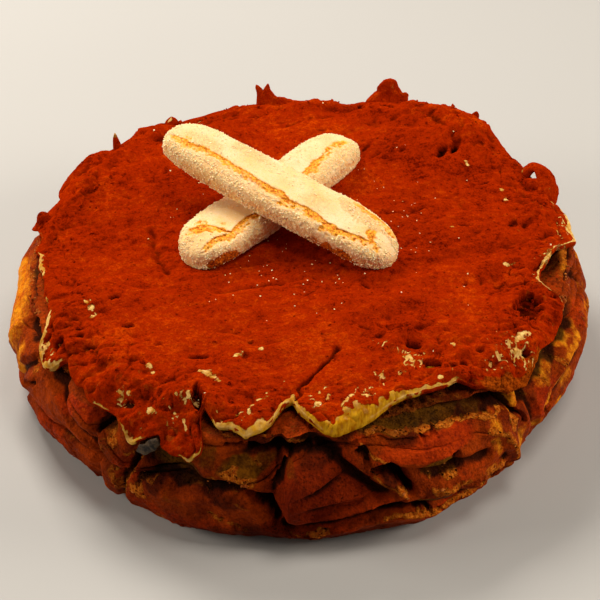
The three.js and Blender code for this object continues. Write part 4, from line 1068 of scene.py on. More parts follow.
# The olive mark of the lip: partly the cream's own yellow, partly painted shade, more on the underside and
# over the big lobe; the hidden underside is fully shaded
yellow_and_shade = around(LIP_YELLOW_AND_SHADE, ANGLE)
shade_lip = yellow_and_shade * np.maximum(smooth(-0.4, 1.4, turns), whole)
hidden = np.zeros((4, ANGLE.size))
bare = np.concatenate([hidden + lip_bare[:1], lip_bare[::-1], bare_top[::-1]])
shade_top = yellow_and_shade * 0.8 * smooth(5, 0, from_edge - 0.5 * REACH)
olive_and_shade = np.concatenate([hidden + 1, shade_lip[::-1], shade_top[::-1]])
# Painted shade in the low places of the top and in the torn holes
deep_top = sunkenness(*cover_plan(a_rows, s_rows), proud, 6)
sunken_shade = np.concatenate([hidden, 0 * shade_lip, deep_top[::-1]])
torn = np.concatenate([hidden + lip_toasted[:1], lip_toasted[::-1], toasted[::-1]])
marks = {"bare": bare, "olive_and_shade": olive_and_shade, "sunken_shade": sunken_shade, "torn": torn}
cover = ring_piece("cream_cover", [0, 0, 48], cover_rings, [0, 0, 54.5], marks)
enter(cover, "cream_top")

# %% [markdown]
# Cocoa lies on the middle as a thin sheet. The real layer is a powder half a millimetre thick, so it is
# a shell on a finer grid, with a ragged border that dips into the cream and can't be seen.

# %% Cocoa sheet
SHEET_COLUMNS = 640
SHEET_RINGS = 144
COCOA_THICKNESS = 0.45
sheet_angle = -180 + 360 * np.arange(SHEET_COLUMNS) / SHEET_COLUMNS
border = 86.5 + 2.0 * rough(wall_point(sheet_angle, 87, 0), 9, 101)
share = np.linspace(0, 1, SHEET_RINGS)[1:, None]
s_sheet = border * share
a_sheet = np.broadcast_to(sheet_angle, s_sheet.shape)
lift = COCOA_THICKNESS - 1.1 * smooth(border - 3, border, s_sheet)
sheet_proud = cover_proud(a_sheet, s_sheet)
sheet_top = skin(a_sheet, s_sheet, 0, sheet_proud + lift)
s_back = border * np.array([0.9, 0.6, 0.3])[:, None] - 2
sheet_back = skin(np.broadcast_to(sheet_angle, s_back.shape), s_back, 4, 0)
sheet_rings = np.concatenate([sheet_back[::-1], sheet_top[::-1]])
bare_sheet = bare_cream(*cover_plan(a_sheet, s_sheet))
sheet_deep = sunkenness(*cover_plan(a_sheet, s_sheet), sheet_proud, 5)
bare = np.concatenate([np.zeros((3, SHEET_COLUMNS)), bare_sheet[::-1]])
sunken_shade = np.concatenate([np.zeros((3, SHEET_COLUMNS)), sheet_deep[::-1]])
centre = TOP_HEIGHT + COCOA_THICKNESS + float(cover_proud(np.zeros(1), np.zeros(1))[0])
marks = {"bare": bare, "olive_and_shade": 0 * bare, "sunken_shade": sunken_shade}
sheet = ring_piece("cocoa_sheet", [0, 0, 51], sheet_rings, [0, 0, centre], marks)
enter(sheet)

# %% [markdown]
# A swept body is a closed section carried along a smooth line of a few points, with its own width and
# depth at every step. The sign of its volume tells whether the faces point outwards.

# %% Sections carried along a path
def smooth_path(points, count):
    """A Catmull-Rom line through the points: each span is the cubic that leaves and meets its neighbours."""
    p = np.asarray(points, float)
    p = np.concatenate([[2 * p[0] - p[1]], p, [2 * p[-1] - p[-2]]])
    t = np.linspace(0, len(p) - 3 - 1e-9, count)
    i = t.astype(int)
    f = (t - i)[:, None]
    a, b, c, d = p[i], p[i + 1], p[i + 2], p[i + 3]
    square, cube = 2 * a - 5 * b + 4 * c - d, 3 * b - a - 3 * c + d
    return 0.5 * (2 * b + (c - a) * f + square * f ** 2 + cube * f ** 3)


def swept(points, widths, depths, sides, flat_to, grain, seed):
    """A closed section along a path: ellipses of the given widths and depths, roughened by noise."""
    centres = smooth_path(points, len(widths))
    along = np.gradient(centres, axis=0)
    along /= np.linalg.norm(along, axis=1)[:, None]
    across = np.cross(along, flat_to)
    across /= np.linalg.norm(across, axis=1)[:, None]
    through = np.cross(along, across)
    turn = 2 * np.pi * np.arange(sides)[None, :, None] / sides
    wide = np.asarray(widths)[:, None, None] * np.cos(turn) * across[:, None]
    ring = wide + np.asarray(depths)[:, None, None] * np.sin(turn) * through[:, None]
    body = centres[:, None] + ring
    size = np.linalg.norm(ring, axis=2)
    stir = grain * rough(body, 3.5, seed) * np.minimum(1, size / 1.2)
    body = body + ring * (stir / (size + 1e-6))[..., None]
    points = np.concatenate([[centres[0]], body.reshape(-1, 3), [centres[-1]]])
    return points, ring_faces(len(widths), sides)


def outward(points, faces):
    """The same faces, turned over if the volume they close is negative."""
    volume = 0
    for group in faces:
        for k in range(1, group.shape[1] - 1):
            a, b, c = points[group[:, 0]], points[group[:, k]], points[group[:, k + 1]]
            volume += np.einsum("ij,ij->", a, np.cross(b, c))
    return faces if volume > 0 else [group[:, ::-1] for group in faces]


def joined(bodies):
    """Several closed bodies as one list of points and faces."""
    points, groups, start = [], {}, 0
    for body, faces in bodies:
        points.append(body)
        for group in outward(body, faces):
            groups.setdefault(group.shape[1], []).append(group + start)
        start += len(body)
    return np.concatenate(points), [np.concatenate(groups[size]) for size in sorted(groups, reverse=True)]


PEAK_STEPS = 36
along_peak = np.linspace(0, 1, PEAK_STEPS)


def taper(foot, tip, flare=0.5, belly=0):
    """Half-width from foot to tip: a straight taper, a flared foot, a belly and a rounded end."""
    width = foot + (tip - foot) * along_peak + flare * foot * (1 - along_peak) ** 5
    width = width + belly * np.sin(np.pi * along_peak)
    return np.maximum(width / 2 * np.sqrt(np.clip(1 - along_peak ** 14, 0, 1)), 0.05)


# %% [markdown]
# Where the spatula left the cream it pulled up peaks: leaning ones and a tall lump on the far rim, thin
# spikes, low lumps, and on the right a strap that curls over and leaves a small window. A thin grey
# tatter of drained cream hangs under the lobes at the left front.

# %% Peaks of cream
BACK = np.array([0, 1, 0])
# Path, taper along the width, taper through, sides of the section, direction it faces, grain
PEAKS = [
    ([[-13, 103, 50], [-15.5, 104.5, 54.5], [-17.5, 105.5, 59], [-19.6, 106, 63.4]],
     (17, 1.6, 0.5, -3), (7, 1.2), 28, BACK, 0.6),
    ([[-13, 103, 50], [-13.3, 104.5, 55], [-14.6, 105.5, 60], [-14.2, 106, 64]],
     (15, 1.4, 0.4, -2), (7, 1.2), 28, BACK, 0.6),
    ([[-6, 101, 50], [-7, 102, 54], [-11, 103.5, 58]], (16, 4), (6, 2), 24, BACK, 0.6),
    ([[39, 101, 50], [39, 103, 55], [39.8, 105, 60], [40.4, 106.5, 66.4]],
     (20, 6, 0.3, 2), (8, 3.6), 36, BACK, 1.5),
    ([[34, 101, 50], [33.6, 103, 55], [34.6, 104.5, 59]], (13, 4), (7, 2.4), 24, BACK, 0.8),
    ([[43, 101, 50], [45.4, 103, 55], [47.8, 105, 60]], (12, 2.4), (6, 1.6), 24, BACK, 0.7),
    ([[-77.5, 70, 49], [-79.5, 71.5, 54.5], [-80, 72, 60]], (5.4, 1, 0.8), (3.6, 0.9, 0.8), 18, BACK, 0.3),
    ([[75, 85, 54.5], [77, 87, 58.4], [78, 88, 60.8]], (7, 1.2, 0.6), (4.5, 1.1, 0.6), 20, BACK, 0.4),
    ([[-58, 90, 50], [-57.5, 91, 52.6], [-59, 92, 54]], (10, 4), (6, 3), 22, BACK, 0.6),
    ([[-92, 40, 50], [-92.5, 40.5, 54], [-93.4, 41, 56.6]], (9, 3), (6, 2.4), 22, BACK, 0.7),
    ([[-104, 20, 49], [-105, 20.5, 52.5], [-106, 21, 55]], (9, 3), (6, 2.4), 22, BACK, 0.7),
    ([[-85, 55, 49], [-86.4, 56, 53.4], [-87, 57, 56.2]], (8, 2.6), (6, 2.4), 22, BACK, 0.6),
    ([[96, 44, 46], [99, 43.5, 51], [101.4, 42, 54]], (15, 8), (11, 5), 26, [0.3, 0.9, 0.3], 0.9),
    ([[93.8, 50, 49.4], [96.6, 51.4, 54.2], [100, 51.4, 56], [103, 48.2, 55.2], [104.4, 42, 52],
      [103, 34, 46.6]],
     (4.2, 12, 0.3, 0.2), (2.8, 5.4, 0.4), 26, [0.35, 0.2, 1], 0.8),
]
BARE_TIPS = np.array([[-14.2, 106, 64], [43, 105, 63], [-80, 72, 60], [-79.5, 71.5, 56], [-60, 91, 55],
                      [96, 50, 54], [103, 38, 52]])
peaks = [swept(path, taper(*width), taper(*through), sides, facing, grain, 201 + k)
         for k, (path, width, through, sides, facing, grain) in enumerate(PEAKS)]
peak_points, peak_faces = joined(peaks)
to_tip = np.min(np.linalg.norm(peak_points[:, None] - BARE_TIPS[None], axis=2), axis=1)
peak_bare = smooth(3.4, 1.6, to_tip + 1.6 * noise(peak_points, 2.2, 221))
peak_bare = peak_bare * smooth(-0.2, 0.4, noise(peak_points, 4, 222))
peak_piece = piece_from("cream_peaks", peak_points, peak_faces,
                        {"bare": 0.8 * peak_bare, "olive_and_shade": 0 * peak_bare, "sunken_shade": 0 * peak_bare})
enter(peak_piece)
# The tatter
tatter_path = [[-50, -100.4, 43], [-53, -100.2, 40.6], [-56, -99.2, 38], [-58.6, -97.6, 35.4]]
tatter_width, tatter_depth = taper(3, 1, 0, 2.2), taper(1.2, 0.4)
tatter_points, tatter_faces = swept(tatter_path, tatter_width, tatter_depth, 30, [-0.5, -0.86, 0.2], 0.9, 240)
tatter = piece_from("cream_tatter", tatter_points, outward(tatter_points, tatter_faces))
enter(tatter)

# %% [markdown]
# A ladyfinger is piped sponge: flat below, a low dome above, round at its ends. Its skin split as it rose.
# Splits and browned patches are named by their place along and across the finger.

# %% Form of a ladyfinger
FINGER_WIDTH = 27.5
FINGER_HEIGHT = 12.0
# Middle of the base, turn in plan, slope, length, unevenness and the side on which its skin is open.
# Splits are points along and across. Gilded: along, across, half-width, strength
# Browned: along, across, up, half-length, half-width, strength
FINGERS = {
    "ladyfinger_lower": {
        "base": [-10.9, 25.3, 54], "turn": 51.3, "slope": 0, "length": 103, "seed": 3, "near": -1,
        "splits": [
            [[-5, -6.4], [-16, -6.8], [-24, -6], [-30, -6.6], [-35, -7.6], [-36, -2.4], [-37, 2.4],
             [-40, 4.6], [-43, 7]],
            [[8, -3.4], [17, -3.4], [24, -1.9], [29.5, -2.6], [36.6, -0.2], [42, -1.2]],
            [[-36, -7.5], [-41, -5.2], [-45, -4]]],
        "gilded": [[-37.1, 5.8, 3, 0.9], [-33.2, -1.3, 2, 0.7], [41, -1, 2.6, 0.7]],
        "browned": [[-48, -12.6, 3.2, 12, 7, 1.25], [40, 12.5, 7, 4, 4, 0.7], [-45, 12, 6, 4, 4, 0.5],
                    [-38, 6, 8, 4, 3, 0.4]]},
    "ladyfinger_upper": {
        "base": [-9.2, 12.6, 65.4], "turn": 149.1, "slope": 11.4, "length": 108, "seed": 8, "near": 1,
        "splits": [
            [[48, 3.9], [42, 4.4], [34, 2.8], [27, 2.9], [20, 3.6], [14.8, 3.1], [8, 4.4], [2.7, 4.9],
             [-4.3, 4.8], [-7.7, 7.3], [-14.9, 6.2], [-20, 6.9], [-26, 8], [-31.6, 7.9], [-37, 7],
             [-41, 5.4], [-46, 4.2]],
            [[-31, -10.9], [-35, -10], [-42, -9.6], [-48.1, -9]]],
        "gilded": [[-42.6, 1.4, 3.4, 1], [44, 3, 2.4, 0.7]],
        "browned": [[-36, 13.4, 2, 18, 3.4, 1], [-44, 1.5, 11, 3, 2.4, 0.55], [30, 13.2, 2, 20, 2.6, 0.5],
                    [2, 6.4, 10, 20, 2.4, 0.5]]},
}


def finger_frame(finger):
    """The finger's own axes in the cake's frame: along, across and up."""
    turn, slope = finger["turn"] * RAD, finger["slope"] * RAD
    along = np.array([np.cos(turn) * np.cos(slope), np.sin(turn) * np.cos(slope), np.sin(slope)])
    across = np.array([-np.sin(turn), np.cos(turn), 0])
    return np.array([along, across, np.cross(along, across)])


def finger_form(finger, u, turn):
    """A squarish ellipse in section that shrinks to round ends, as places in the finger's own axes."""
    ends = np.sqrt(np.clip(1 - np.abs(u) ** 7, 0, 1))
    half = FINGER_WIDTH / 2 * (0.93 + 0.04 * np.sin(3 * u + finger["seed"]))
    half = half * np.sqrt(np.clip(1 - np.abs(u) ** 9, 0, 1)) * (0.8 + 0.2 * ends)
    height = FINGER_HEIGHT * (0.95 + 0.05 * np.cos(4 * u + finger["seed"])) * (0.45 + 0.55 * ends)
    c, s = np.cos(turn), np.sin(turn)
    across = np.sign(c) * np.abs(c) ** np.where(s > 0, 0.58, 0.72) * half
    dome, belly = 0.5 + 0.5 * np.clip(s, 0, 1) ** 0.62, 0.5 - 0.5 * np.clip(-s, 0, 1) ** 0.6
    up = np.where(s > 0, dome, belly) * height
    return np.stack([u * finger["length"] / 2 + 0 * across, across, up], -1)


print("the fingers are", *(finger["length"] for finger in FINGERS.values()), "mm long")

# %% [markdown]
# The crust is a distance out from the middle of the finger. At a split the skin opened in a narrow gap,
# and the inside shows beside it as a toasted band. The steep sides keep coarse sugar, the crown less.

# %% Crust of a ladyfinger
def finger_detail(finger, form, u, turn):
    """The split, the toasted band beside it, the sugar's grain and soft waves, with the marks they make."""
    seed = finger["seed"] * 10
    top = smooth(0, 0.5, np.sin(turn))
    stir = np.stack([rough(form, 2.6, seed + 1), rough(form, 2.6, seed + 2)], -1)
    shiver = np.stack([noise(form, 0.9, seed + 11), noise(form, 0.9, seed + 12)], -1)
    stirred = form[..., :2] + 1.1 * stir + 0.35 * shiver
    split, outer = np.full(u.shape, 1e9), np.zeros(u.shape)
    for path in finger["splits"]:
        away = line_distance(path, stirred[..., 0], stirred[..., 1])
        beside = finger["near"] * (form[..., 1] - np.interp(form[..., 0], *np.array(sorted(path)).T))
        outer = np.where(away < split, beside, outer)
        split = np.minimum(split, away)
    split = np.where(top > 0.2, split, 1e3)
    open_wide = np.clip(0.65 + 0.6 * noise(form, 5, seed + 3), 0.15, 1.2)
    gap = -0.5 * open_wide * np.clip(1 - split / (0.3 + 0.5 * open_wide), 0, 1) ** 0.8
    reach = 3.9 + 1.6 * noise(form, 7, seed + 14) + 0.9 * noise(form, 1.6, seed + 15)
    band = (1 - smooth(0.55, 1.25, split / reach)) * smooth(-0.7, 0.2, outer) * top
    for along, across, half, strength in finger["gilded"]:
        away = np.hypot(form[..., 0] - along, form[..., 1] - across) / half
        away = away + 0.4 * noise(form, 1.8, seed + 16)
        band = np.maximum(band, strength * (1 - smooth(0.4, 1.2, away)) * top)
    pits = smooth(0.2, 0.55, noise(form, 0.95, seed + 13)) * band
    side = np.clip(1 - top * 0.75 + 0.4 * smooth(0.1, 0.6, noise(form, 8, seed + 4)), 0.2, 1)
    side = np.maximum(side, 0.8 * smooth(0.6, 3, outer) * (split < 9) * top) * (1 - 0.85 * band)
    grains = 0.24 * noise(form, 0.95, seed + 5) + 0.18 * noise(form, 0.6, seed + 6)
    grains = grains + 0.2 * noise(form, 2, seed + 7)
    slow = 0.35 * noise(form, 14, seed + 8) + 0.22 * noise(form, 6, seed + 9)
    detail = slow + gap + grains * (side + 0.8 * band) - 0.35 * band - 0.5 * pits
    return detail, split, side, band, pits


def browning(finger, form):
    """How browned each place is: the strongest of a few ragged ovals low on the sides and at the ends."""
    browned = 0 * form[..., 0]
    for along, across, up, half_long, half_wide, strength in finger["browned"]:
        in_plan = ((form[..., 0] - along) / half_long) ** 2 + ((form[..., 1] - across) / half_wide) ** 2
        away = np.sqrt(in_plan + ((form[..., 2] - up) / 5.5) ** 2)
        browned = np.maximum(browned, strength * smooth(1.25, 0.5, away + 0.35 * rough(form, 3, 301)))
    return browned


print(sum(len(finger["splits"]) for finger in FINGERS.values()), "splits in the two crusts")

# %% [markdown]
# The rings of a finger crowd towards its ends, where the form turns fastest, and nothing may sink below
# its flat underside. The finished points are kept, because sugar is set on them later.

# %% The two ladyfingers
SIDES = 230
STATIONS = 300


def in_place(finger, points):
    """Points in the finger's own axes, moved into the cake's frame."""
    return np.asarray(points) @ finger_frame(finger) + np.asarray(finger["base"], float)


def finger_piece(name, finger):
    """Rings round the finger at stations that crowd towards its ends, moved out by the detail."""
    u = -np.cos(np.pi * np.arange(1, STATIONS) / STATIONS)
    u = (0.55 * u + 0.45 * (2 * np.arange(1, STATIONS) / STATIONS - 1))[:, None] + np.zeros((1, SIDES))
    turn = np.broadcast_to(2 * np.pi * np.arange(SIDES) / SIDES, u.shape)
    form = finger_form(finger, u, turn)
    detail, split, side, band, pits = finger_detail(finger, form, u, turn)
    middle = np.stack([form[..., 0] * 0.86, 0 * u, 0.4 * FINGER_HEIGHT + 0 * u], -1)
    out = form - middle
    out /= np.linalg.norm(out, axis=2, keepdims=True)
    floor_fade = smooth(0, 1.2, form[..., 2])
    form = form + out * (detail * (0.35 + 0.65 * floor_fade))[..., None]
    form[..., 2] = np.maximum(form[..., 2], 0)
    patchy = 0.5 + 0.5 * noise(form, 3, 302)
    golden = 0.9 * np.clip(1.1 - split / 0.7, 0, 1) + (0.45 + 0.5 * patchy) * band + 0.5 * pits
    marks = {"golden": np.clip(golden, 0, 1), "browned": browning(finger, form), "sugar": side, "band": band}
    end, rings = finger["length"] / 2, in_place(finger, form)
    first = in_place(finger, [-end, 0, form[0].mean(0)[2]])
    last = in_place(finger, [end, 0, form[-1].mean(0)[2]])
    return ring_piece(name, first, rings, last, marks), rings, marks, finger_frame(finger)


fingers = {}
for name, finger in FINGERS.items():
    fingers[name] = finger_piece(name.replace("ladyfinger", "sugared_finger"), finger)
    enter(fingers[name][0], name)

# %% [markdown]
# Loose bits. A small shape is worked out once, and then all its copies are placed, turned and scaled in
# one sum over whole arrays. Each kind is one mesh.

# %% Scattering
def random_turns(count):
    """Rotation matrices from random unit quaternions, spread evenly over all turns."""
    q = picker.normal(size=(count, 4))
    w, x, y, z = (q / np.linalg.norm(q, axis=1)[:, None]).T
    return np.stack([1 - 2 * (y * y + z * z), 2 * (x * y - z * w), 2 * (x * z + y * w),
                     2 * (x * y + z * w), 1 - 2 * (x * x + z * z), 2 * (y * z - x * w),
                     2 * (x * z - y * w), 2 * (y * z + x * w), 1 - 2 * (x * x + y * y)], -1).reshape(-1, 3, 3)


def pebble(rows, count, lumpy, seed):
    """A small closed lump: a sphere in rings whose radius is stirred by noise."""
    theta = np.pi * np.arange(1, rows + 1)[:, None] / (rows + 1)
    phi = 2 * np.pi * np.arange(count)[None, :] / count
    ball = np.stack([np.sin(theta) * np.cos(phi), np.sin(theta) * np.sin(phi), -np.cos(theta) + 0 * phi], -1)
    ball = ball * (1 + lumpy * noise(ball * 3, 2, seed))[..., None]
    points = np.concatenate([[[0, 0, -1]], ball.reshape(-1, 3), [[0, 0, 1]]])
    return points, outward(points, ring_faces(rows, count))


def crystal():
    """A sugar crystal: a block a little longer than it is wide."""
    corners = np.array([[x, y, z] for x in (-1, 1) for y in (-1, 1) for z in (-1, 1)], float)
    corners = corners * [0.8, 0.9, 1.15]
    quads = np.array([[0, 1, 3, 2], [4, 6, 7, 5], [0, 4, 5, 1], [2, 3, 7, 6], [0, 2, 6, 4], [1, 5, 7, 3]])
    return corners, outward(corners, [quads])


def scatter(name, shapes, places, sizes):
    """Copies of the shapes at the places: each is turned by a random rotation, scaled and moved."""
    places, sizes = np.asarray(places, float), np.asarray(sizes, float)
    turns = random_turns(len(places))
    kinds = picker.integers(len(shapes), size=len(places))
    points, groups, start = [], {}, 0
    for kind, (shape, faces) in enumerate(shapes):
        chosen = np.flatnonzero(kinds == kind)
        squash = picker.uniform(0.65, 1.25, size=(len(chosen), 1, 3))
        body = np.einsum("nij,nvj->nvi", turns[chosen], shape[None] * squash)
        body = body * sizes[chosen, None, None] + places[chosen, None]
        points.append(body.reshape(-1, 3))
        for group in faces:
            shifted = group[None] + (np.arange(len(chosen)) * len(shape))[:, None, None] + start
            groups.setdefault(group.shape[1], []).append(shifted.reshape(-1, group.shape[1]))
        start += body.shape[0] * body.shape[1]
    faces = [np.concatenate(groups[size]) for size in sorted(groups, reverse=True)]
    piece = piece_from(name, np.concatenate(points), faces)
    piece.data.polygons.foreach_set("use_smooth", np.zeros(len(piece.data.polygons), bool))
    enter(piece)
    return piece


def on_cocoa(x, y):
    """Points on the cocoa above places in plan."""
    r, angle = np.hypot(x, y), np.arctan2(y, x) / RAD
    return skin(angle, r, 0, cover_proud(angle, r) + 0.4)


# %% [markdown]
# A sugar crystal is likelier on the sides of a finger than on its crown, and it keeps off browned and
# split places, so each point gets a weight. A few handfuls fell on the cocoa as round clouds.

# %% Sugar on the fingers and on the cocoa
SUGAR_COUNT = 5200
sugar_places, sugar_sizes = [], []
for name, (piece, form, marks, axes) in fingers.items():
    flat_points = form.reshape(-1, 3)
    high = (flat_points - np.asarray(FINGERS[name]["base"])) @ axes[2] > 1.2
    plain = np.clip(1 - marks["browned"].ravel(), 0, 1) * (1 - 0.7 * marks["golden"].ravel())
    plain = plain * (1 - 0.9 * marks["band"].ravel()) ** 2
    weight = (marks["sugar"].ravel() ** 2 + 0.2) * high * plain
    chosen = picker.choice(len(flat_points), SUGAR_COUNT, replace=False, p=weight / weight.sum())
    sugar_places.append(flat_points[chosen])
    sugar_sizes.append(picker.uniform(0.13, 0.33, SUGAR_COUNT))
finger_sugar = scatter("finger_sugar", [crystal(), pebble(2, 4, 0.3, 5)], np.concatenate(sugar_places),
                       np.concatenate(sugar_sizes))
# Fallen sugar: x, y, spread, number of grains. None lies further out than its reach
FALLEN = [(-5, -8, 16, 26), (40, 8, 12, 22), (-42, 16, 9, 14), (-25, -20, 14, 12), (20, -18, 14, 16),
          (42, 42, 14, 12), (-40, 50, 12, 8), (10, 0, 45, 26)]
FALLEN_REACH = 95
fallen = [picker.normal((cx, cy), spread, size=(count, 2)) for cx, cy, spread, count in FALLEN]
fallen = np.concatenate(fallen)
fallen = fallen * np.minimum(1, FALLEN_REACH / np.hypot(*fallen.T))[:, None]
fallen_places, fallen_sizes = on_cocoa(*fallen.T), picker.uniform(0.14, 0.28, len(fallen))
fallen_sugar = scatter("fallen_sugar", [crystal()], fallen_places, fallen_sizes)

# %% [markdown]
# Many places are tried and few are kept: clumps of cocoa mostly where the cream is torn, crumbs where
# the crumb mark of the wall is high and on the ledge of the upper sponge.

# %% Cocoa clumps and sponge crumbs
TRIED_CLUMPS, TRIED_CRUMBS, LEDGE_CRUMBS = 9000, 30000, 500
lump_shapes = [pebble(4, 7, 0.55, 11), pebble(4, 7, 0.6, 12), pebble(3, 6, 0.6, 13)]
spots = picker.uniform(-108, 108, size=(TRIED_CLUMPS, 2))
edge_there = np.interp(np.arctan2(spots[:, 1], spots[:, 0]) / RAD, ANGLE, EDGE)
inside = np.hypot(*spots.T) < np.minimum(103, edge_there - 4)
spots = spots[inside & (picker.random(TRIED_CLUMPS) < 0.03 + 0.22 * torn_rim(*spots.T))]
clump_places, clump_sizes = on_cocoa(*spots.T), picker.gamma(3, 0.11, len(spots)) + 0.12
clumps = scatter("cocoa_clumps", lump_shapes, clump_places, clump_sizes)
crumb_angle = picker.uniform(-180, 180, TRIED_CRUMBS)
crumb_z = picker.uniform(1, 49, TRIED_CRUMBS)
keep = picker.random(TRIED_CRUMBS) < 0.12 * wall_marks(crumb_angle, crumb_z)["crumb"] ** 2
crumb_places = wall_point(crumb_angle[keep], wall_radius(crumb_angle[keep], crumb_z[keep]), crumb_z[keep])
ledge_angle = picker.uniform(-180, 180, LEDGE_CRUMBS)
ledge_z = picker.uniform(46.8, 49.6, LEDGE_CRUMBS)
clear = np.abs(turn_between(ledge_angle, -80)) > 40
ledge_angle, ledge_z = ledge_angle[clear], ledge_z[clear]
ledge = wall_point(ledge_angle, wall_radius(ledge_angle, ledge_z) + torn_edge(ledge_angle, 0.5), ledge_z)
crumb_places = np.concatenate([crumb_places, ledge])
crumb_sizes = picker.gamma(3, 0.09, len(crumb_places)) + 0.12
crumbs = scatter("sponge_crumbs", lump_shapes, crumb_places, crumb_sizes)
print(len(spots), "clumps and", len(crumb_places), "crumbs")

# %% [markdown]
# Finishes are written as sums on sockets. A small class wraps a socket so that plus, minus and times add
# their Math node, and another makes every other node. Colours are given from 0 to 255, as on a screen.

# %% Shader sums
class Wire:
    """One output socket that can take part in sums."""

    def __init__(self, finish, socket):
        self.finish = finish
        self.socket = socket

    def math(self, operation, *values, clamp=False):
        settings = {"operation": operation, "use_clamp": clamp}
        return self.finish.node("ShaderNodeMath", settings, dict(enumerate(values)))

    def __add__(self, other):
        return self.math("ADD", self, other)

    __radd__ = __add__

    def __sub__(self, other):
        return self.math("SUBTRACT", self, other)

    def __rsub__(self, other):
        return self.math("SUBTRACT", other, self)

    def __mul__(self, other):
        return self.math("MULTIPLY", self, other)

    __rmul__ = __mul__

    def step(self, low, high):
        """Zero below low, one above high, with a soft change between. Turned round if low is the larger."""
        settings = {"interpolation_type": "SMOOTHSTEP"}
        return self.finish.node("ShaderNodeMapRange", settings, {0: self, 1: low, 2: high, 3: 0.0, 4: 1.0})

    def clamp(self):
        return self.math("ADD", self, 0.0, clamp=True)

    def stirred(self, *patterns):
        """The value plus, for each pattern, its distance from one half times its weight."""
        total = self
        for pattern, weight in patterns:
            total = total + (pattern - 0.5) * weight
        return total


def light(red, green, blue):
    """A colour read off a screen as linear light: the standard curve, part by part."""
    parts = [c / 255 for c in (red, green, blue)]
    return (*(c / 12.92 if c <= 0.04045 else ((c + 0.055) / 1.055) ** 2.4 for c in parts), 1.0)


class Finish:
    """A material in the making: its nodes, its shader and the few moves that every finish uses."""

    def __init__(self, name, **constants):
        self.material = bpy.data.materials.new(name)
        self.material.use_nodes = True
        self.tree = self.material.node_tree
        self.shader = self.tree.nodes["Principled BSDF"]
        for key, value in constants.items():
            self.shader.inputs[key.replace("_", " ")].default_value = value
        self.place = self.node("ShaderNodeTexCoord", {}, {}, "Object")

    def node(self, kind, settings, values, output=0):
        """One node: its settings first, then a value or a link for each named or numbered socket."""
        node = self.tree.nodes.new(kind)
        for key, value in settings.items():
            setattr(node, key, value)
        for key, value in values.items():
            if isinstance(value, Wire):
                self.tree.links.new(value.socket, node.inputs[key])
            else:
                node.inputs[key].default_value = value
        return Wire(self, node.outputs[output])

    def noise(self, size, detail=3.0, roughness=0.55, stretch=None):
        """Blender's noise with features of a size in millimetres, from 0 to 1."""
        place = self.place
        if stretch:
            place = self.node("ShaderNodeMapping", {}, {"Vector": place, "Scale": stretch})
        values = {"Vector": place, "Scale": 1 / MM / size, "Detail": detail, "Roughness": roughness}
        return self.node("ShaderNodeTexNoise", {}, values, "Fac")

    def mark(self, name):
        return self.node("ShaderNodeAttribute", {"attribute_name": name}, {}, "Fac")

    def mix(self, factor, first, second):
        """First where the factor is nought, second where it is one. A plain colour is read off a screen."""
        first, second = [light(*c) if isinstance(c, tuple) else c for c in (first, second)]
        return self.node("ShaderNodeMix", {"data_type": "RGBA"}, {0: factor, 6: first, 7: second}, 2)

    def coat(self, amount, colour):
        """Lays a colour over the colours so far, as thick as the amount."""
        self.colour = self.mix(amount, self.colour, colour)

    def bump(self, height, distance):
        """A bump of a height in millimetres feeds the shader's normal."""
        values = {"Height": height, "Distance": distance * MM}
        self.feed("Normal", self.node("ShaderNodeBump", {}, values, "Normal"))

    def feed(self, name, wire):
        self.tree.links.new(wire.socket, self.shader.inputs[name])


# %% [markdown]
# Dry cocoa has no gloss. It is darker in clots and lighter where the powder lies loose. Where the bare
# mark is high the cream shows, and between the two thin powder tints it orange, so it looks dusted. Shade is
# painted into the low places, the torn holes and the cocoa near the lip.

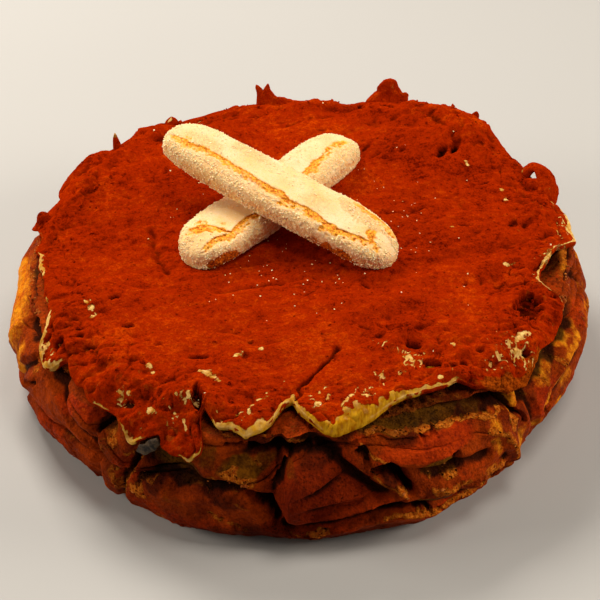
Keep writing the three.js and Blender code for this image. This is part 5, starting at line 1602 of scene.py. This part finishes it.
# %% Cocoa and cream
def cocoa_finish(name):
    """Cocoa in patterns of five sizes, clots, painted shade in the low places, pits and near the lip, and
    cream wherever the bare mark is high, olive under the lip.
    """
    f = Finish(name, Specular_IOR_Level=0.0, Roughness=1.0, Diffuse_Roughness=0.6)
    cloud, mottle, speck = f.noise(34, 3), f.noise(7, 4, 0.65), f.noise(2.3, 3, 0.65)
    streak, grain = f.noise(5, 4, 0.65, (0.5, 1.2, 1.0)), f.noise(0.9, 3, 0.75)
    tone = ((cloud - 0.5) * 0.8).stirred((mottle, 0.7), (streak, 0.5), (speck, 0.8), (grain, 0.9)) + 0.5
    f.colour = f.mix(tone.step(0.1, 0.5), (106, 15, 0), (168, 39, 1))
    f.coat(tone.step(0.5, 0.95), (208, 70, 2))
    clots = f.noise(1.5, 2, 0.5).step(0.66, 0.76)
    f.coat(clots * 0.65, (62, 6, 0))
    bare, olive_and_shade, sunken_shade = f.mark("bare"), f.mark("olive_and_shade"), f.mark("sunken_shade")
    # Painted shade in the low places and on the floors of the torn holes
    sunken_shade_amount = sunken_shade.stirred((grain, 0.3))
    f.coat(sunken_shade_amount.step(0.05, 0.5) * 0.65, (80, 10, 0))
    f.coat(sunken_shade_amount.step(0.5, 1.0) * 0.95, (12, 3, 0))
    # Painted shade on the cocoa near the edge and down the lip
    f.coat(olive_and_shade * (1.0 - bare) * 0.5, (96, 14, 0))
    torn = (f.mark("torn") * 1.5).stirred((f.noise(2.0, 4, 0.7), 1.2)).step(0.65, 1.05)
    toast = f.mix(f.noise(1.2, 3, 0.7).step(0.35, 0.65), (104, 36, 2), (188, 84, 12))
    f.coat(torn * 0.9, toast)
    dusted = bare.stirred((f.noise(1.1, 4, 0.75), 1.3))
    cream = f.mix(f.noise(2.4, 3).step(0.3, 0.7), (206, 138, 42), (248, 212, 130))
    run = f.noise(1.6, 3, 0.6, (1.0, 0.3, 0.3))
    # Cream painted olive where the mark is high: partly its own yellow, partly painted shade under the lip
    olive_shaded_cream = f.mix(run.step(0.3, 0.7), (160, 92, 0), (216, 160, 30))
    olive_shade_mix = (olive_and_shade * 1.3).stirred((f.noise(2.6, 3), 0.9), (run, 0.8)).clamp()
    cream = f.mix(olive_shade_mix, cream, olive_shaded_cream)
    f.coat(dusted.step(0.2, 0.6) * 0.8, (184, 70, 8))
    shown = dusted.step(0.48, 0.72)
    f.coat(shown, cream)
    f.feed("Base Color", f.colour)
    f.feed("Roughness", 1.0 - 0.45 * shown)
    powder = grain * 0.5 + f.noise(0.5, 2, 0.7) * 0.3 + speck * 0.9 + f.noise(4.5, 3, 0.6) * 1.1 - clots * 0.3
    f.bump(powder * (1.0 - 0.75 * shown), 0.85)
    return f.material


cocoa_material = cocoa_finish("cocoa_over_cream")
for piece in (cover, sheet, peak_piece, clumps):
    piece.data.materials.append(cocoa_material)

# %% [markdown]
# One finish dresses all four layers, because the marks already say what shows where. The ground is a
# brown-red film. Over it come paste, amber cream with painted highlight on lit ridges, olive and crumbs, then
# painted shade in the folds, under the lips and towards the foot, and more painted shade in the deep places.

# %% Sponge, film and crumb
def sponge_finish(name):
    """A dark film, then red, amber with painted highlight, painted shade, olive and crumbly places laid over
    it by their marks, and painted shade in the hollows.
    """
    f = Finish(name, Specular_IOR_Level=0.025, Roughness=0.7)
    cloud, mottle, grain = f.noise(22, 4), f.noise(5, 4, 0.7), f.noise(1.0, 3, 0.75)
    smear = f.noise(7, 5, 0.7, (1.0, 1.0, 0.35))
    tone = ((cloud - 0.5) * 0.9).stirred((mottle, 0.7), (smear, 0.8), (grain, 0.7)) + 0.5
    f.colour = f.mix(tone.step(0.1, 0.9), (88, 20, 0), (174, 62, 2))
    red = f.mark("red").stirred((mottle, 1.2), (grain, 0.7)).step(0.25, 0.85)
    f.coat(red * 0.85, f.mix(tone.step(0.1, 0.9), (122, 22, 0), (206, 62, 2)))
    # Amber, partly painted highlight on the lit ridges
    amber_and_highlight = f.mark("amber_and_highlight").stirred((mottle, 1.3), (smear, 1.0)).step(0.3, 1.0)
    amber_highlight_colour = f.mix(smear.stirred((grain, 0.6)).step(0.3, 0.7), (196, 82, 2), (236, 150, 22))
    f.coat(amber_and_highlight * 0.9, amber_highlight_colour)
    # Painted shade in the folds, under the lips and towards the foot
    painted_shade = f.mark("painted_shade").stirred((mottle, 0.6), (grain, 0.3)).step(0.1, 1.0)
    f.coat(painted_shade * 0.85, f.mix(tone.step(0.1, 0.9), (16, 3, 0), (74, 18, 0)))
    olive = f.mark("olive").stirred((mottle, 0.7)).step(0.3, 0.9)
    f.coat(olive * 0.9, f.mix(tone.step(0.2, 0.85), (44, 22, 0), (132, 80, 6)))
    crumb = f.mark("crumb").stirred((f.noise(2.2, 4, 0.75), 1.6)).step(0.35, 0.8)
    crumb_colour = f.mix(f.noise(1.3, 3, 0.7).step(0.35, 0.65), (166, 66, 4), (222, 126, 34))
    # Crumbs are painted darker where the painted shade lies
    crumb_colour = f.mix(painted_shade * 0.65, crumb_colour, (92, 34, 6))
    f.coat(crumb * 0.95, crumb_colour)
    pores = f.noise(1.1, 3, 0.65).step(0.57, 0.68) * (0.3 + crumb + painted_shade * 0.5)
    f.coat((pores * 0.9).clamp(), (40, 11, 0))
    # Painted shade in the hollows and creases of the wall, weaker on the olive places
    hollow_shade = f.mark("hollow_shade").stirred((mottle, 0.25), (grain, 0.1))
    f.coat(hollow_shade.step(0.58, 1.0) * 0.9 * (1.0 - 0.6 * olive), (18, 6, 0))
    f.feed("Base Color", f.colour)
    f.feed("Roughness", (0.62 + crumb * 0.35 + (mottle - 0.5) * 0.3 - olive * 0.1).clamp())
    relief = f.noise(6, 4, 0.6) * 1.1 + f.noise(1.6, 3, 0.7) * (0.6 + crumb * 0.8)
    f.bump(relief + grain * 0.4 - pores * 0.5, 1.3)
    return f.material


sponge_material = sponge_finish("soaked_sponge")
for piece in (base, slab, filling, crust):
    piece.data.materials.append(sponge_material)


def crumb_finish(name):
    """Pale crumb with darker specks."""
    f = Finish(name, Specular_IOR_Level=0.1, Roughness=0.95)
    colour = f.mix(f.noise(6, 2).step(0.35, 0.65), (140, 50, 6), (208, 122, 50))
    f.feed("Base Color", f.mix(f.noise(0.8, 2).step(0.3, 0.7) * 0.5, colour, (106, 34, 4)))
    f.bump(f.noise(0.5, 2), 0.3)
    return f.material


crumbs.data.materials.append(crumb_finish("torn_crumb"))


def tatter_finish(name):
    """Drained cream, brown-grey and a little moist."""
    f = Finish(name, Specular_IOR_Level=0.2, Roughness=0.6)
    f.feed("Base Color", f.mix(f.noise(3, 4, 0.7).step(0.35, 0.65), (20, 12, 6), (78, 58, 36)))
    f.bump(f.noise(1.6, 3), 0.5)
    return f.material


tatter.data.materials.append(tatter_finish("drained_cream"))

# %% [markdown]
# The crown of a ladyfinger is pale where fine sugar melted into it and gold at the splits, where the
# inside toasted. Browned patches lie low on the sides and at the ends. A little light passes the skin.

# %% Ladyfingers and sugar
def finger_finish(name):
    """Pale crust, sugar, the gold of the splits and the browned patches."""
    f = Finish(name, Specular_IOR_Level=0.1, Roughness=0.85, Subsurface_Weight=0.12)
    f.shader.inputs["Subsurface Radius"].default_value = (1.0, 0.5, 0.2)
    f.shader.inputs["Subsurface Scale"].default_value = 0.002
    sugar, golden, browned = f.mark("sugar"), f.mark("golden"), f.mark("browned")
    cloud, grain, fine = f.noise(12, 3), f.noise(1.0, 3, 0.75), f.noise(0.55, 2)
    tone = ((cloud - 0.5) * 0.9).stirred((grain, 0.9)) + 0.5
    f.colour = f.mix(tone.step(0.15, 0.85), (250, 203, 130), (255, 235, 194))
    between = (sugar * 1.15 - 0.06) * f.noise(1.0, 3, 0.65).step(0.38, 0.58)
    f.coat((sugar * 0.5).clamp(), (250, 204, 128))
    f.coat((between * 0.55).clamp(), (226, 142, 58))
    f.coat(fine.step(0.6, 0.7) * 0.55, (240, 172, 76))
    gold = golden.stirred((f.noise(1.2, 3, 0.7), 0.9)).step(0.25, 0.8)
    gold_colour = f.mix(grain.step(0.35, 0.65), (226, 114, 0), (255, 190, 40))
    f.coat(gold * 0.95, gold_colour)
    prick = golden.stirred((f.noise(0.9, 2), 1.4)).step(0.85, 1.15)
    f.coat(prick * 0.7, (186, 80, 4))
    brown = browned.stirred((f.noise(1.8, 3, 0.7), 0.9)).step(0.35, 0.8)
    brown_colour = f.mix(grain.step(0.35, 0.65), (120, 38, 2), (220, 108, 12))
    f.coat(brown, brown_colour)
    f.feed("Base Color", f.colour)
    f.feed("Roughness", (0.8 - sugar * 0.1 + (grain - 0.5) * 0.3).clamp())
    f.bump(f.noise(0.8, 3, 0.7) * (0.5 + sugar) + f.noise(2.4, 3, 0.6) * 0.5, 0.4)
    return f.material


def sugar_finish(name):
    """Pale crystals that let some light through."""
    f = Finish(name, Specular_IOR_Level=0.35, Roughness=0.4, Subsurface_Weight=0.2)
    f.shader.inputs["Subsurface Scale"].default_value = 0.001
    f.feed("Base Color", f.mix(f.noise(3, 2), (254, 212, 140), (255, 238, 196)))
    return f.material


finger_material = finger_finish("sugared_biscuit")
sugar_material = sugar_finish("sugar_crystal")
for piece, *_ in fingers.values():
    piece.data.materials.append(finger_material)
finger_sugar.data.materials.append(sugar_material)
fallen_sugar.data.materials.append(sugar_material)

# %% [markdown]
# The picture was taken from in front and above, through a long lens. The key lamp stands behind and to
# the left, so the lips cast their shadow down the wall. Lamps above, at both sides and in front, and a
# dim warm world, keep the folds readable.

# %% Camera, floor and light
AIM = np.array([0.1, -2.3, 27.5]) * MM
DISTANCE = 0.6442
ELEVATION = 39.37 * RAD
FOCAL_LENGTH, SENSOR_WIDTH = 94.5, 36
WARM = (1.0, 0.94, 0.86)
FLOOR_HALF = 4
camera = bpy.data.objects.new("camera", bpy.data.cameras.new("camera"))
bpy.context.scene.collection.objects.link(camera)
camera.location = AIM + DISTANCE * np.array([0, -np.cos(ELEVATION), np.sin(ELEVATION)])
camera.rotation_euler = (math.pi / 2 - ELEVATION, 0, 0)
camera.data.lens = FOCAL_LENGTH
camera.data.sensor_width = SENSOR_WIDTH
bpy.context.scene.camera = camera
bpy.context.scene.view_settings.view_transform = "Standard"

floor_mesh = bpy.data.meshes.new("floor")
floor_corners = [(x * FLOOR_HALF, y * FLOOR_HALF, 0) for x, y in ((-1, -1), (1, -1), (1, 1), (-1, 1))]
floor_mesh.from_pydata(floor_corners, [], [(0, 1, 2, 3)])
floor = bpy.data.objects.new("floor", floor_mesh)
bpy.context.scene.collection.objects.link(floor)
floor_finish = Finish("pale_floor", Roughness=0.9, Specular_IOR_Level=0.1)
pale = floor_finish.mix(floor_finish.noise(300, 2), (184, 182, 178), (190, 188, 184))
floor_finish.feed("Base Color", pale)
floor_mesh.materials.append(floor_finish.material)


def lamp(name, place, size, power, colour):
    """A square soft lamp at a place in metres, turned to face the middle of the cake."""
    data = bpy.data.lights.new(name, "AREA")
    data.shape = "SQUARE"
    data.size = size
    data.energy = power
    data.color = colour
    lamp_object = bpy.data.objects.new(name, data)
    bpy.context.scene.collection.objects.link(lamp_object)
    lamp_object.location = place
    back = np.asarray(place) - AIM
    flat_length = math.hypot(back[0], back[1])
    lamp_object.rotation_euler = (math.atan2(flat_length, back[2]), 0, math.atan2(back[0], -back[1]))


lamp("key", (-0.36, 0.6, 0.8), 0.4, 10.5, WARM)
lamp("above", (0.25, -0.12, 1.08), 0.35, 3.6, WARM)
lamp("left", (-0.95, -0.1, 0.42), 0.4, 5.5, (1.0, 0.92, 0.82))
lamp("right", (0.95, -0.05, 0.42), 0.4, 7.0, (1.0, 0.92, 0.82))
lamp("fill", (0.1, -1.0, 0.5), 0.8, 0.2, (1.0, 0.95, 0.9))
world = bpy.data.worlds.new("studio")
bpy.context.scene.world = world
world.use_nodes = True
world.node_tree.nodes["Background"].inputs["Color"].default_value = (*WARM, 1)
world.node_tree.nodes["Background"].inputs["Strength"].default_value = 0.07
